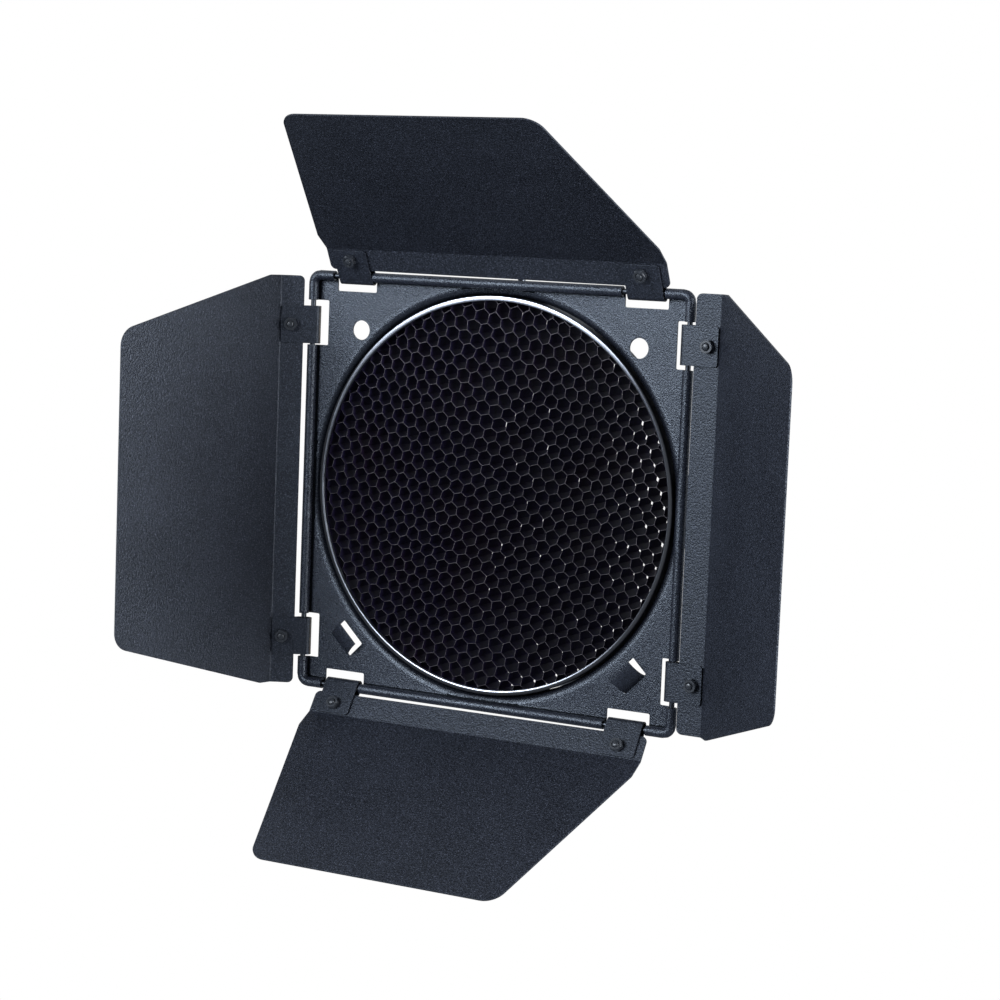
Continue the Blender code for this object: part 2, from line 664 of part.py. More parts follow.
def build_knob(place, axis):
    """Knob with shallow flutes, bored from below for the screw."""
    def fluted(r, t, h):
        if r >= FLUTE_MIN_R:
            r *= 1.0 - FLUTE_DEPTH * (0.5 + 0.5 * math.cos(FLUTES * t))
        return place(r, t, h)

    profile = [(LOCK_BORE_R, KNOB_Z0), (KNOB_HUB_R, KNOB_Z0),
               (KNOB_HUB_R, KNOB_Z0 + KNOB_HUB_H), (KNOB_R, KNOB_Z0 + KNOB_FLARE_H),
               (KNOB_R, KNOB_Z1 - KNOB_EDGE), (KNOB_R - KNOB_EDGE, KNOB_Z1), (0, KNOB_Z1),
               (0, KNOB_Z1 - KNOB_EDGE), (LOCK_BORE_R, KNOB_Z1 - KNOB_EDGE)]
    make("lock_knob", *turn(profile, KNOB_SEGS, fluted), "knob", axis, sharp_deg=50.0)


# ---------------------------------------------------------------- build
for old in list(bpy.data.objects):
    bpy.data.objects.remove(old, do_unlink=True)

wire_path = frame_path()
build_plate(wire_path)
build_wire(wire_path)
build_grid_ring()
build_core()
build_stop_ring()
build_leaves()
build_lock()

# bring the honeycomb's front face to the origin
for top_level in bpy.data.objects:
    if top_level.parent is None:
        top_level.location.y -= CORE_FRONT * MM
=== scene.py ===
"""Barn doors with a honeycomb grid: a square sheet frame, four hinged leaves and a clamp screw.

x points right, z up and y back, away from the viewer.  The round opening lies along y.
The frame's edge curls round a square wire loop, and the four leaves hinge on that wire.
Meshes are written in mm with y counted from the plane of the wire; leaves, clips and
their screws have axes of their own.
"""
import json
import math
import random

import bmesh
import bpy
from mathutils import Matrix, Vector


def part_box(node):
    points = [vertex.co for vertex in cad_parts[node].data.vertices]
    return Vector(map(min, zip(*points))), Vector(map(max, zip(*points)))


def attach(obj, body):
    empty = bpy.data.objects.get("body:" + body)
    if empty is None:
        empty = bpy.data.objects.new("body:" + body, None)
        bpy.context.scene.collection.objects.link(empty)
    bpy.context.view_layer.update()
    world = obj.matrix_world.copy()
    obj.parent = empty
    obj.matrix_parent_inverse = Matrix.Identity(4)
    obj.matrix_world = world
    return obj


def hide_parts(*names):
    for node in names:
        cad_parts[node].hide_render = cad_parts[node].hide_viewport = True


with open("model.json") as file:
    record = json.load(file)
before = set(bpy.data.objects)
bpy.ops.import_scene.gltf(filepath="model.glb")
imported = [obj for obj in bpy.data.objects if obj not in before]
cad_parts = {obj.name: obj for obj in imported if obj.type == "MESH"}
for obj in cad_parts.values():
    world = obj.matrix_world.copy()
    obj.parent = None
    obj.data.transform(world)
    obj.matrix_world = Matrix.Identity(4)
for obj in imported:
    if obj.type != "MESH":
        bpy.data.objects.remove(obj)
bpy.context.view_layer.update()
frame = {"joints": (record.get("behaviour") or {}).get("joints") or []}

MM = 0.001
JOINT = {joint["name"]: joint for joint in frame["joints"]}
# the plane of the hinge wire and its distance from the middle, from the top hinge
WIRE_Y = JOINT["top_door_hinge"]["pos_m"][1] / MM
WIRE_HALF = JOINT["top_door_hinge"]["pos_m"][2] / MM


def smoothstep(t):
    t = min(1.0, max(0.0, t))
    return t * t * (3 - 2 * t)


def cos_sin(angle):
    return math.cos(angle), math.sin(angle)


def y_range(piece):
    """Front and back of a piece, from the wire plane."""
    low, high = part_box(piece)
    return low.y / MM - WIRE_Y, high.y / MM - WIRE_Y


def y_middle(piece):
    low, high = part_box(piece)
    return (low.y + high.y) / 2 / MM - WIRE_Y


def z_range(piece):
    low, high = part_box(piece)
    return low.z / MM, high.z / MM


# =====================================================================================
# shader node helpers
# =====================================================================================
class ShaderTree:
    """Node tree of a material or a world.  An input takes a number, a colour, a socket or a node."""

    def __init__(self, owner):
        self.owner = owner
        owner.use_nodes = True
        self.nodes = owner.node_tree.nodes
        self.links = owner.node_tree.links
        self.nodes.clear()

    def plug(self, socket, value):
        if isinstance(value, bpy.types.Node):
            value = value.outputs[0]
        if isinstance(value, bpy.types.NodeSocket):
            self.links.new(value, socket)
        elif socket.type == "RGBA":
            socket.default_value = (*value, 1)
        else:
            socket.default_value = value

    def add(self, kind, inputs=None, **settings):
        node = self.nodes.new("ShaderNode" + kind)
        for key, value in settings.items():
            setattr(node, key, value)
        for key, value in (inputs or {}).items():
            self.plug(node.inputs[key], value)
        return node

    def coords(self, kind="Object"):
        return self.add("TexCoord").outputs[kind]

    def split(self, vector):
        return self.add("SeparateXYZ", {0: vector}).outputs

    def remap(self, value, span, to=(0.0, 1.0)):
        """Maps the span of values linearly to another one and clamps it there."""
        return self.add("MapRange", {
            "From Min": span[0], "From Max": span[1],
            "To Min": to[0], "To Max": to[1], "Value": value}).outputs["Result"]

    def math(self, operation, first, second=None):
        inputs = {0: first} if second is None else {0: first, 1: second}
        return self.add("Math", inputs, operation=operation).outputs[0]

    def mul(self, first, second):
        return self.math("MULTIPLY", first, second)

    def plus(self, first, second):
        return self.math("ADD", first, second)

    def dot(self, first, second):
        return self.add("VectorMath", {0: first, 1: second}, operation="DOT_PRODUCT").outputs["Value"]

    def scale(self, vector, factor):
        return self.add("VectorMath", {0: vector, "Scale": factor}, operation="SCALE").outputs[0]

    def mix(self, factor, first, second):
        """Mix of two colours."""
        return self.add("Mix", {0: factor, 6: first, 7: second}, data_type="RGBA").outputs[2]

    def noise(self, vector, scale, detail, rough):
        return self.add("TexNoise", {
            "Scale": scale, "Detail": detail, "Roughness": rough, "Vector": vector}).outputs["Fac"]

    def axis_radius(self, xyz):
        """Distance from the y axis."""
        x_squared = self.mul(xyz["X"], xyz["X"])
        z_squared = self.mul(xyz["Z"], xyz["Z"])
        return self.math("SQRT", self.plus(x_squared, z_squared))

    def bevel_normal(self, radius):
        return self.add("Bevel", {"Radius": radius}, samples=4).outputs["Normal"]

    def edge_mask(self, radius):
        """1 on sharp edges, 0 on flats: how far the bevelled normal leans from the true one."""
        bevelled = self.bevel_normal(radius)
        true = self.add("NewGeometry").outputs["Normal"]
        return self.remap(self.dot(bevelled, true), span=(0.985, 0.80))

    def bump(self, height, strength, distance):
        return self.add("Bump", {"Strength": strength, "Distance": distance, "Height": height})

    def finish(self, shader, output="OutputMaterial"):
        self.add(output, {0: shader})
        return self.owner


def new_material(name):
    return ShaderTree(bpy.data.materials.new(name))


def tone(rgb, gain, lift=0.0):
    """A lighter or darker version of a colour."""
    return tuple(min(1.0, channel * gain + lift) for channel in rgb)


# =====================================================================================
# materials
# =====================================================================================
COAT_SHEEN = (0.84, 0.91, 1.0)      # cool tint of the highlights on the powder coat
# radii (m) between which the painted shade and the lowered gloss inside the drawn lip fade out, from
# the lip outward
LIP_SHADE_FADE = (0.0909, 0.0942)
# radii (m) over which the burnished ring at the start of the bend comes and goes
RUB_RISE = (0.0918, 0.0938)
RUB_FALL = (0.0966, 0.0944)


def powder_coat(name, rgb, rough, speck, bump, wear, spec, grain=1750.0, lip=None):
    """Matt powder coat: fine orange peel, light specks where grains shine, thin worn edges.

    grain is the scale of the peel, lip the radii between which the painted shade and the lowered
    gloss inside the drawn lip fade out.
    """
    tree = new_material(name)
    place = tree.coords()
    fine = tree.noise(place, scale=grain, detail=2.0, rough=0.6)
    grit = tree.noise(place, scale=grain * 1.7, detail=1.0, rough=0.5)
    broad = tree.noise(place, scale=28.0, detail=3.0, rough=0.55)
    cells = tree.add("TexVoronoi", {"Scale": grain * 1.05, "Vector": place}).outputs["Distance"]

    # colour: broad drift, a few lighter specks, dark pits, then the grain over all of it
    colour = tree.mix(tree.remap(broad, span=(0.32, 0.68)),
                      tone(rgb, gain=0.84), tone(rgb, gain=1.18))
    colour = tree.mix(tree.remap(grit, span=(0.52, 0.72), to=(0.0, speck)),
                      colour, tone(rgb, gain=3.2, lift=0.02))
    colour = tree.mix(tree.remap(fine, span=(0.50, 0.34), to=(0.0, 0.75)),
                      colour, tone(rgb, gain=0.30))
    mottle = tree.noise(place, scale=grain * 1.25, detail=1.0, rough=0.5)
    colour = tree.scale(colour, tree.remap(mottle, span=(0.36, 0.64), to=(0.55, 1.45)))

    # worn edges: the coat is thin there and greyer
    patch = tree.remap(tree.noise(place, scale=160.0, detail=3.0, rough=0.6),
                       span=(0.40, 0.62), to=(0.15, 1.0))
    worn = tree.mul(tree.mul(tree.edge_mask(radius=0.00035), patch), wear)
    colour = tree.mix(worn, colour, tone(rgb, gain=2.0, lift=0.05))

    gloss = tree.add("BsdfPrincipled", {
        "Specular IOR Level": spec, "Specular Tint": COAT_SHEEN})
    if lip:
        # painted shade: inside the drawn lip the coat's colour is darkened nearly to black, and its
        # gloss is lowered
        radius = tree.axis_radius(tree.split(place))
        keep = tree.remap(radius, span=lip, to=(0.16, 1.0))
        # the start of the bend is burnished
        rub = tree.mul(tree.remap(radius, span=RUB_RISE, to=(0.0, 0.8)),
                       tree.remap(radius, span=RUB_FALL))
        tree.plug(gloss.inputs["Specular IOR Level"],
                  tree.plus(tree.mul(keep, spec), tree.mul(rub, 1.0 - spec)))
        # painted shade: the colour turns nearly black inside the drawn lip
        colour = tree.mix(keep, tone(rgb, gain=0.15), colour)
    tree.plug(gloss.inputs["Base Color"], colour)

    roughness = tree.plus(tree.remap(fine, span=(0.3, 0.7), to=(rough - 0.07, rough + 0.08)),
                          tree.remap(broad, span=(0.3, 0.7), to=(-0.03, 0.03)))
    if lip:
        roughness = tree.math("SUBTRACT", roughness, tree.mul(rub, 0.03))
    tree.plug(gloss.inputs["Roughness"], roughness)

    # relief: the weights of the peel, its cells and the grit
    height = tree.plus(tree.mul(fine, 1.0), tree.mul(cells, -0.6))
    height = tree.plus(height, tree.mul(grit, 0.35))
    # seen edge-on the grain closes up into an even sheen
    view = tree.add("NewGeometry").outputs
    facing = tree.math("ABSOLUTE", tree.dot(view["Normal"], view["Incoming"]))
    graze = tree.remap(facing, span=(0.06, 0.30), to=(0.10, 1.0))
    normal = tree.bump(height, strength=tree.mul(graze, bump), distance=0.00016)
    tree.plug(normal.inputs["Normal"], tree.bevel_normal(radius=0.00022))
    tree.plug(gloss.inputs["Normal"], normal)

    # a matt coat doesn't turn into a mirror edge-on: its gloss gives way to a dull sheen there
    dull = tree.add("BsdfDiffuse", {"Color": tree.scale(colour, factor=1.3), "Normal": normal})
    dullness = tree.remap(graze, span=(0.52, 0.92), to=(0.95, 0.0))
    return tree.finish(tree.add("MixShader", {0: dullness, 1: gloss, 2: dull}))


def metal(name, rgb, rough, scale, bump=0.15, spread=0.12, tint=0.18, metallic=1.0, dirt=0.25,
          spec=0.5, edge=0.0):
    """Metal with a fine surface noise.

    spread and tint are how far it moves roughness and colour, dirt and edge the strength
    of the dark patches and of the painted highlights that lighten sharp edges.
    """
    tree = new_material(name)
    place = tree.coords()
    fine = tree.noise(tree.add("Mapping", {"Vector": place}), scale=scale, detail=3.0, rough=0.6)
    broad = tree.noise(place, scale=90.0, detail=4.0, rough=0.6)
    colour = tree.mix(tree.remap(fine, span=(0.3, 0.7)),
                      tone(rgb, gain=1 - tint), tone(rgb, gain=1 + tint))
    colour = tree.mix(tree.remap(broad, span=(0.52, 0.75), to=(0.0, dirt)),
                      colour, tone(rgb, gain=0.45))
    if edge:
        # painted highlight: sharp edges are lightened, standing in for the light caught on the rims
        # of nuts and screws
        colour = tree.mix(tree.mul(tree.edge_mask(radius=0.00028), edge),
                          colour, tone(rgb, gain=2.5, lift=0.06))
    roughness = tree.plus(
        tree.remap(fine, span=(0.3, 0.7), to=(rough - spread / 2, rough + spread / 2)),
        tree.remap(broad, span=(0.35, 0.7), to=(-0.02, 0.08)))
    return tree.finish(tree.add("BsdfPrincipled", {
        "Base Color": colour, "Metallic": metallic, "Specular IOR Level": spec,
        "Roughness": roughness, "Normal": tree.bump(fine, strength=bump, distance=0.00004)}))


BAND_LINES = 9000.0                 # scale of the fine lines across the band
BAND_DRIFT = 6.0                    # scale of the change along them
BEAD_UNSHADED_TO = (0.08848, 0.09020)      # radius (m) out to which the bead stays bare metal, at the sides and at the top; beyond it painted shade colours the flank black


def rolled_band(name, rgb, rough, bump):
    """Rolled aluminium: fine lines run round the ring, brightness drifts a little along them."""
    tree = new_material(name)
    place = tree.coords()
    xyz = tree.split(place)
    radius = tree.axis_radius(xyz)
    angle = tree.math("ARCTAN2", xyz["Z"], xyz["X"])
    lines = tree.noise(
        tree.add("CombineXYZ", {0: tree.mul(radius, BAND_LINES), 1: tree.mul(xyz["Y"], BAND_LINES),
                                2: tree.mul(angle, BAND_DRIFT)}),
        scale=1.0, detail=2.0, rough=0.5)
    broad = tree.noise(place, scale=45.0, detail=3.0, rough=0.6)
    colour = tree.mix(tree.remap(lines, span=(0.3, 0.7)), tone(rgb, gain=0.90), rgb)
    colour = tree.mix(tree.remap(broad, span=(0.50, 0.78), to=(0.0, 0.30)),
                      colour, tone(rgb, gain=0.6))
    # painted shade: the outer flank of the bead is coloured black; the bright metal reaches out
    # furthest at the top and less far towards the sides
    up = tree.math("DIVIDE", xyz["Z"], radius)
    across = tree.math("DIVIDE", xyz["X"], radius)
    bound = tree.remap(up, span=(0.20, 0.98), to=BEAD_UNSHADED_TO)
    black = tree.remap(tree.math("SUBTRACT", radius, bound), span=(0.0, 0.00022))
    # painted shade: the metal is darkened almost to black on the right side and partly on the left
    # side
    right = tree.remap(across, span=(0.34, 0.80), to=(0.0, 0.93))
    left = tree.remap(across, span=(-0.25, -0.75), to=(0.0, 0.62))
    colour = tree.mix(tree.math("MAXIMUM", right, left), colour, (0.035, 0.035, 0.042))
    # painted shade: black on the flank beyond the bound
    colour = tree.mix(black, colour, (0.010, 0.010, 0.013))
    roughness = tree.plus(tree.remap(lines, span=(0.3, 0.7), to=(rough - 0.05, rough + 0.06)),
                          tree.mul(black, 0.30))
    return tree.finish(tree.add("BsdfPrincipled", {
        "Base Color": colour, "Metallic": tree.remap(black, span=(0.0, 1.0), to=(1.0, 0.0)),
        "Roughness": roughness, "Normal": tree.bump(lines, strength=bump, distance=0.00003)}))


def foil_wall(name):
    """Black anodised foil: slightly crumpled, a satin sheen, a touch of violet."""
    tree = new_material(name)
    place = tree.coords()
    crumple = tree.noise(place, scale=420.0, detail=3.0, rough=0.6)
    broad = tree.noise(place, scale=40.0, detail=2.0, rough=0.5)
    colour = tree.mix(tree.remap(crumple, span=(0.3, 0.7)),
                      (0.0150, 0.0120, 0.0330), (0.0300, 0.0230, 0.0640))
    colour = tree.mix(tree.remap(broad, span=(0.45, 0.7), to=(0.0, 0.6)),
                      colour, (0.027, 0.013, 0.032))
    return tree.finish(tree.add("BsdfPrincipled", {
        "Base Color": colour, "Specular IOR Level": 0.04,
        "Roughness": tree.remap(crumple, span=(0.3, 0.7), to=(0.44, 0.62)),
        "Normal": tree.bump(crumple, strength=0.35, distance=0.0002)}))


def foil_edge(name):
    """The cut edge of the foil, where the black has chipped off in places."""
    tree = new_material(name)
    place = tree.coords()
    chips = tree.noise(place, scale=260.0, detail=3.0, rough=0.6)
    broad = tree.noise(place, scale=22.0, detail=2.0, rough=0.5)
    bare = tree.mul(tree.remap(chips, span=(0.34, 0.62), to=(0.35, 1.0)),
                    tree.remap(broad, span=(0.3, 0.7), to=(0.7, 1.0)))
    return tree.finish(tree.add("BsdfPrincipled", {
        "Base Color": tree.mix(bare, (0.04, 0.034, 0.038), (0.160, 0.141, 0.148)),
        "Metallic": 0.6, "Roughness": 0.45}))


def moulded(name, rgb):
    """Moulded black plastic with a fine spark-eroded texture."""
    tree = new_material(name)
    place = tree.coords()
    fine = tree.noise(place, scale=2600.0, detail=2.0, rough=0.6)
    broad = tree.noise(place, scale=300.0, detail=2.0, rough=0.6)
    colour = tree.mix(tree.remap(broad, span=(0.35, 0.7)),
                      tone(rgb, gain=0.8), tone(rgb, gain=1.4))
    colour = tree.mix(tree.mul(tree.edge_mask(radius=0.0003), 0.4),
                      colour, tone(rgb, gain=3, lift=0.03))
    return tree.finish(tree.add("BsdfPrincipled", {
        "Base Color": colour,
        "Roughness": tree.remap(fine, span=(0.3, 0.7), to=(0.42, 0.60)),
        "Normal": tree.bump(fine, strength=0.4, distance=0.00006)}))


MAT = {
    # the frame's coat carries painted shade inside the drawn lip
    "frame": powder_coat("frame_powder_coat", (0.0150, 0.0170, 0.0250), rough=0.28, speck=0.85,
                         bump=0.85, wear=0.30, spec=0.70, grain=1900.0, lip=LIP_SHADE_FADE),
    # painted shade for the crease between the curl and the plate
    "crease_shade": powder_coat("groove_powder_coat", (0.003, 0.004, 0.006), rough=0.60, speck=0.30,
                          bump=0.50, wear=0.0, spec=0.08),
    "leaf": powder_coat("leaf_powder_coat", (0.0150, 0.0168, 0.0238), rough=0.43, speck=1.0,
                        bump=1.1, wear=0.25, spec=0.60, grain=1150.0),
    "clip": powder_coat("clip_powder_coat", (0.0140, 0.0160, 0.0230), rough=0.40, speck=0.85,
                        bump=0.85, wear=0.50, spec=0.60, grain=1300.0),
    "clip_worn": powder_coat("clip_worn_bend", (0.14, 0.120, 0.100), rough=0.45, speck=0.30,
                             bump=0.35, wear=0.50, spec=0.40),
    "wire": metal("drawn_wire", (0.36, 0.36, 0.37), rough=0.34, scale=700.0),
    "dark_wire": metal("black_wire", (0.075, 0.080, 0.090), rough=0.34, scale=700.0),
    "band": rolled_band("rolled_aluminium", (0.74, 0.76, 0.82), rough=0.30, bump=0.07),
    "foil": foil_wall("black_foil"),
    "foil_edge": foil_edge("foil_cut_edge"),
    # black_steel: its edge value paints highlights on the sharp edges of the nuts and screws
    "black_steel": metal("black_oxide", (0.026, 0.029, 0.035), rough=0.33, scale=1400.0, bump=0.3,
                         spread=0.10, tint=0.35, metallic=0.0, dirt=0.2, spec=0.75, edge=0.8),
    "zinc": metal("zinc_plate", (0.46, 0.47, 0.50), rough=0.30, scale=800.0, bump=0.2, tint=0.12,
                  dirt=0.4),
    "knob": moulded("knob_plastic", (0.018, 0.018, 0.019)),
}


# =====================================================================================
# mesh helpers; a shape is a pair (vertices in mm, faces)
# =====================================================================================
def shade_mesh(mesh, angle):
    mesh.shade_smooth()
    mesh.set_sharp_from_angle(angle=math.radians(angle))


def make(name, shape, materials, angle, matrix=None, face_materials=None):
    """Object from a shape, with faces turned outward and edges sharp above the angle."""
    verts, faces = shape
    mesh = bpy.data.meshes.new(name)
    matrix = matrix or Matrix.Translation((0, WIRE_Y * MM, 0))
    mesh.from_pydata([matrix @ (Vector(v) * MM) for v in verts], [], faces)
    if face_materials:
        mesh.polygons.foreach_set("material_index", face_materials)
    for material in materials:
        mesh.materials.append(material)
    bm = bmesh.new()
    bm.from_mesh(mesh)
    bmesh.ops.recalc_face_normals(bm, faces=bm.faces)
    if bm.calc_volume(signed=True) < 0:
        bmesh.ops.reverse_faces(bm, faces=bm.faces)
    bm.to_mesh(mesh)
    bm.free()
    shade_mesh(mesh, angle)
    ob = bpy.data.objects.new(name, mesh)
    bpy.context.scene.collection.objects.link(ob)
    return ob


def tube(rings, closed_path=False):
    """Skin over a row of rings; an open row gets end caps."""
    count, size = len(rings), len(rings[0])
    verts = [point for ring in rings for point in ring]
    faces = []
    for i in range(count if closed_path else count - 1):
        near, far = i * size, ((i + 1) % count) * size
        for j in range(size):
            j2 = (j + 1) % size
            faces.append((near + j, near + j2, far + j2, far + j))
    if not closed_path:
        faces.append(tuple(range(size)))
        faces.append(tuple((count - 1) * size + j for j in range(size)))
    return verts, faces


def revolve(profile, segments, place):
    """Closed (radius, height) profile turned about an axis; place(radius, angle, height)."""
    verts, index = [], []
    for radius, height in profile:
        if radius < 1e-9:
            index.append([len(verts)] * segments)
            verts.append(place(0.0, 0.0, height))
        else:
            index.append([len(verts) + i for i in range(segments)])
            verts += [place(radius, 2 * math.pi * i / segments, height) for i in range(segments)]
    faces = []
    for k, row in enumerate(index):
        following = index[(k + 1) % len(index)]
        for i in range(segments):
            j = (i + 1) % segments
            face = []
            for v in (row[i], row[j], following[j], following[i]):
                if v not in face:
                    face.append(v)
            if len(face) > 2:
                faces.append(tuple(face))
    return verts, faces


def prism(outline, y0, y1, place=lambda x, y, z: (x, y, z)):
    """Prism of an (x, z) outline from y0 to y1."""
    return tube([[place(x, y, z) for x, z in outline] for y in (y0, y1)])


def round_rect(x0, x1, z0, z1, radius, steps=4):
    points = []
    for cx, cz, start in ((x1 - radius, z1 - radius, 0), (x0 + radius, z1 - radius, 90),
                          (x0 + radius, z0 + radius, 180), (x1 - radius, z0 + radius, 270)):
        for i in range(steps + 1):
            cos, sin = cos_sin(math.radians(start + 90.0 * i / steps))
            points.append((cx + radius * cos, cz + radius * sin))
    return points


def circle(cx, cz, radius, segments):
    return [(cx + radius * math.cos(2 * math.pi * i / segments),
             cz + radius * math.sin(2 * math.pi * i / segments)) for i in range(segments)]


def apply_modifiers(ob):
    bpy.context.view_layer.update()
    depsgraph = bpy.context.evaluated_depsgraph_get()
    mesh = bpy.data.meshes.new_from_object(ob.evaluated_get(depsgraph))
    ob.modifiers.clear()
    old = ob.data
    ob.data = mesh
    mesh.name = ob.name
    bpy.data.meshes.remove(old)


def carve(ob, shapes, operation, matrix=None):
    """Cuts closed shapes out of ob, or adds them to it, and applies the result."""
    verts, faces = [], []
    for shape_verts, shape_faces in shapes:
        base = len(verts)
        verts += shape_verts
        faces += [tuple(i + base for i in face) for face in shape_faces]
    tool = make(ob.name + "_tool", (verts, faces), [ob.data.materials[0]], 30.0, matrix)
    boolean = ob.modifiers.new("cut", "BOOLEAN")
    boolean.object = tool
    boolean.operation = operation
    boolean.solver = "EXACT"
    apply_modifiers(ob)
    bpy.data.objects.remove(tool)


def settle(ob, angle, weighted=True, bevel=0.0):
    """Final shading; a small rolled edge where bevel is given."""
    if bevel:
        rolled = ob.modifiers.new("edge", "BEVEL")
        rolled.width = bevel * MM
        rolled.segments = 2
        rolled.limit_method = "ANGLE"
        rolled.angle_limit = math.radians(48)
        apply_modifiers(ob)
    shade_mesh(ob.data, angle)
    if weighted:
        normals = ob.modifiers.new("weighted", "WEIGHTED_NORMAL")
        normals.keep_sharp = True
        normals.weight = 80


def hand_over(ob, body, piece):
    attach(ob, body)
    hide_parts(piece)


# =====================================================================================
# frame: one sheet with a drawn collar, a flat plate and an edge curled round the wire
# =====================================================================================
SHEET = 0.7                         # sheet thickness of frame and clips
WIRE_R, WIRE_CORNER = 1.2, 3.6      # radius of the wire and of its bends
CURL_IN = 1.6
CURL_OUT = CURL_IN + SHEET
CURL_OPEN = 292.0                   # how far the curl goes round, in degrees
CURL_START = 6
PLATE_FRONT = 2.6
PLATE_BACK = PLATE_FRONT + SHEET
COLLAR_IN = 90.5
COLLAR_OUT = COLLAR_IN + SHEET
COLLAR_END = y_range("frame_plate")[1]
COLLAR_EDGE = 0.12                  # chamfer at the back end of the collar
LIP_MAX = 4.2                       # largest outer radius of the bend from collar to plate
LIP_EDGE = 2.5                      # the bend stays this far inside the wire,
LIP_SPARE = 0.15                    # and this much more
PLATE_EDGE = 2.45                   # where the plate ends, inside the wire
REVERSE_BEND = 1.2                  # place of the small bend between plate and curl
SIDE_STEPS, CORNER_STEPS = 44, 12
CURL_STEPS, LIP_STEPS = 20, 8

NOTCH_IN, NOTCH_OUT = 88.3, WIRE_HALF + 6       # notches in the four sides, where clips sit
NOTCH_U, NOTCH_WIDTH = 73.3, 20.8
HOLE_X, HOLE_Z, HOLE_R = 70.5, 70.9, 4.5        # round holes in the upper corners
SLOT_IN, SLOT_OUT, SLOT_HALF = 98.2, 107.5, 7.1     # slots in the lower corners
RECESS_HALF, RECESS_Y = 52.0, 14.0              # cut-outs in the back end of the collar
LOCK_HOLE_R = 2.6
LOCK_Y = y_middle("lock_pad")                   # axis of the clamp screw


def loop_stations(side_steps, corner_steps):
    """Stations round the wire: (x, z), outward normal, angle in degrees, crease strength."""
    straight = WIRE_HALF - WIRE_CORNER
    half = 45.0 * side_steps / (side_steps + corner_steps)
    stations = []
    for quarter in range(4):
        base = 90.0 * quarter
        cos, sin = cos_sin(math.radians(base))
        for i in range(side_steps + 1):
            angle = -half + 2 * half * i / side_steps
            along = straight * math.tan(math.radians(angle * 45.0 / half))
            point = (WIRE_HALF * cos - along * sin, WIRE_HALF * sin + along * cos)
            stations.append((point, (cos, sin), base + angle, 0))
        cx, cz = straight * cos - straight * sin, straight * sin + straight * cos
        for i in range(1, corner_steps):
            normal = cos_sin(math.radians(base + 90.0 * i / corner_steps))
            # the bend is gathered: a shallow crease close to each end of it
            crease = (max(0.0, 1 - abs(i - 1.5) / 1.1)
                      + max(0.0, 1 - abs(corner_steps - i - 1.5) / 1.1) * 0.6)
            stations.append(((cx + WIRE_CORNER * normal[0], cz + WIRE_CORNER * normal[1]), normal,
                             base + half + (90.0 - 2 * half) * i / corner_steps, crease))
    return stations


def collar_section(lip):
    """Front and back faces of collar and bend, as (radius, y)."""
    front = [(COLLAR_IN + COLLAR_EDGE, COLLAR_END), (COLLAR_IN, COLLAR_END - COLLAR_EDGE)]
    back = [(COLLAR_OUT - COLLAR_EDGE, COLLAR_END), (COLLAR_OUT, COLLAR_END - COLLAR_EDGE)]
    centre_r, centre_y, inner = COLLAR_IN + lip, PLATE_FRONT + lip, lip - SHEET
    for i in range(LIP_STEPS + 1):
        cos, sin = cos_sin(math.radians(90.0 * i / LIP_STEPS))
        front.append((centre_r - lip * cos, centre_y - lip * sin))
        back.append((centre_r - inner * cos, centre_y - inner * sin))
    return front, back


def curl_section(crease):
    """Outer part of the section, front face to back face, as (distance outside the wire, y)."""
    outer, inner = CURL_OUT - 0.20 * crease, CURL_IN - 0.06 * crease
    # the sheet leaves the plate in a small reverse bend and joins the curl at its back
    front = [(-PLATE_EDGE, PLATE_FRONT), (-REVERSE_BEND, PLATE_FRONT - 0.28)]
    back = [(-PLATE_EDGE, PLATE_BACK), (-REVERSE_BEND, PLATE_BACK - 0.22)]
    for i in range(CURL_STEPS + 1):
        cos, sin = cos_sin(math.radians(CURL_START + (CURL_OPEN - CURL_START) * i / CURL_STEPS))
        front.append((inner * sin, inner * cos))
        back.append((outer * sin, outer * cos))
    middle = (outer + inner) / 2
    cos, sin = cos_sin(math.radians(CURL_OPEN + 4))
    return front + [(middle * sin, middle * cos)] + back[::-1]


def sheet_ring(point, normal, angle, crease):
    cos, sin = cos_sin(math.radians(angle))
    (px, pz), (nx, nz) = point, normal
    room = math.hypot(px - LIP_EDGE * nx, pz - LIP_EDGE * nz) - COLLAR_IN - LIP_SPARE
    front, back = collar_section(min(LIP_MAX, room))
    ring = [(r * cos, y, r * sin) for r, y in front]
    ring += [(px + out * nx, y, pz + out * nz) for out, y in curl_section(crease)]
    ring += [(r * cos, y, r * sin) for r, y in back[::-1]]
    return ring


def diagonal(x_sign, z_sign):
    return Vector((x_sign, 0, z_sign)).normalized()


def place_along(direction, hand=1):
    """Placing function for (distance along the direction, y, distance across it)."""
    across = Vector((direction.z, 0, -direction.x)) * hand
    return lambda out, y, side: tuple(direction * out + across * side + Vector((0, y, 0)))


def lock_stem(radius, angle, height):
    """Place about the axis of the clamp screw."""
    return (radius * math.cos(angle), LOCK_Y + radius * math.sin(angle), height)


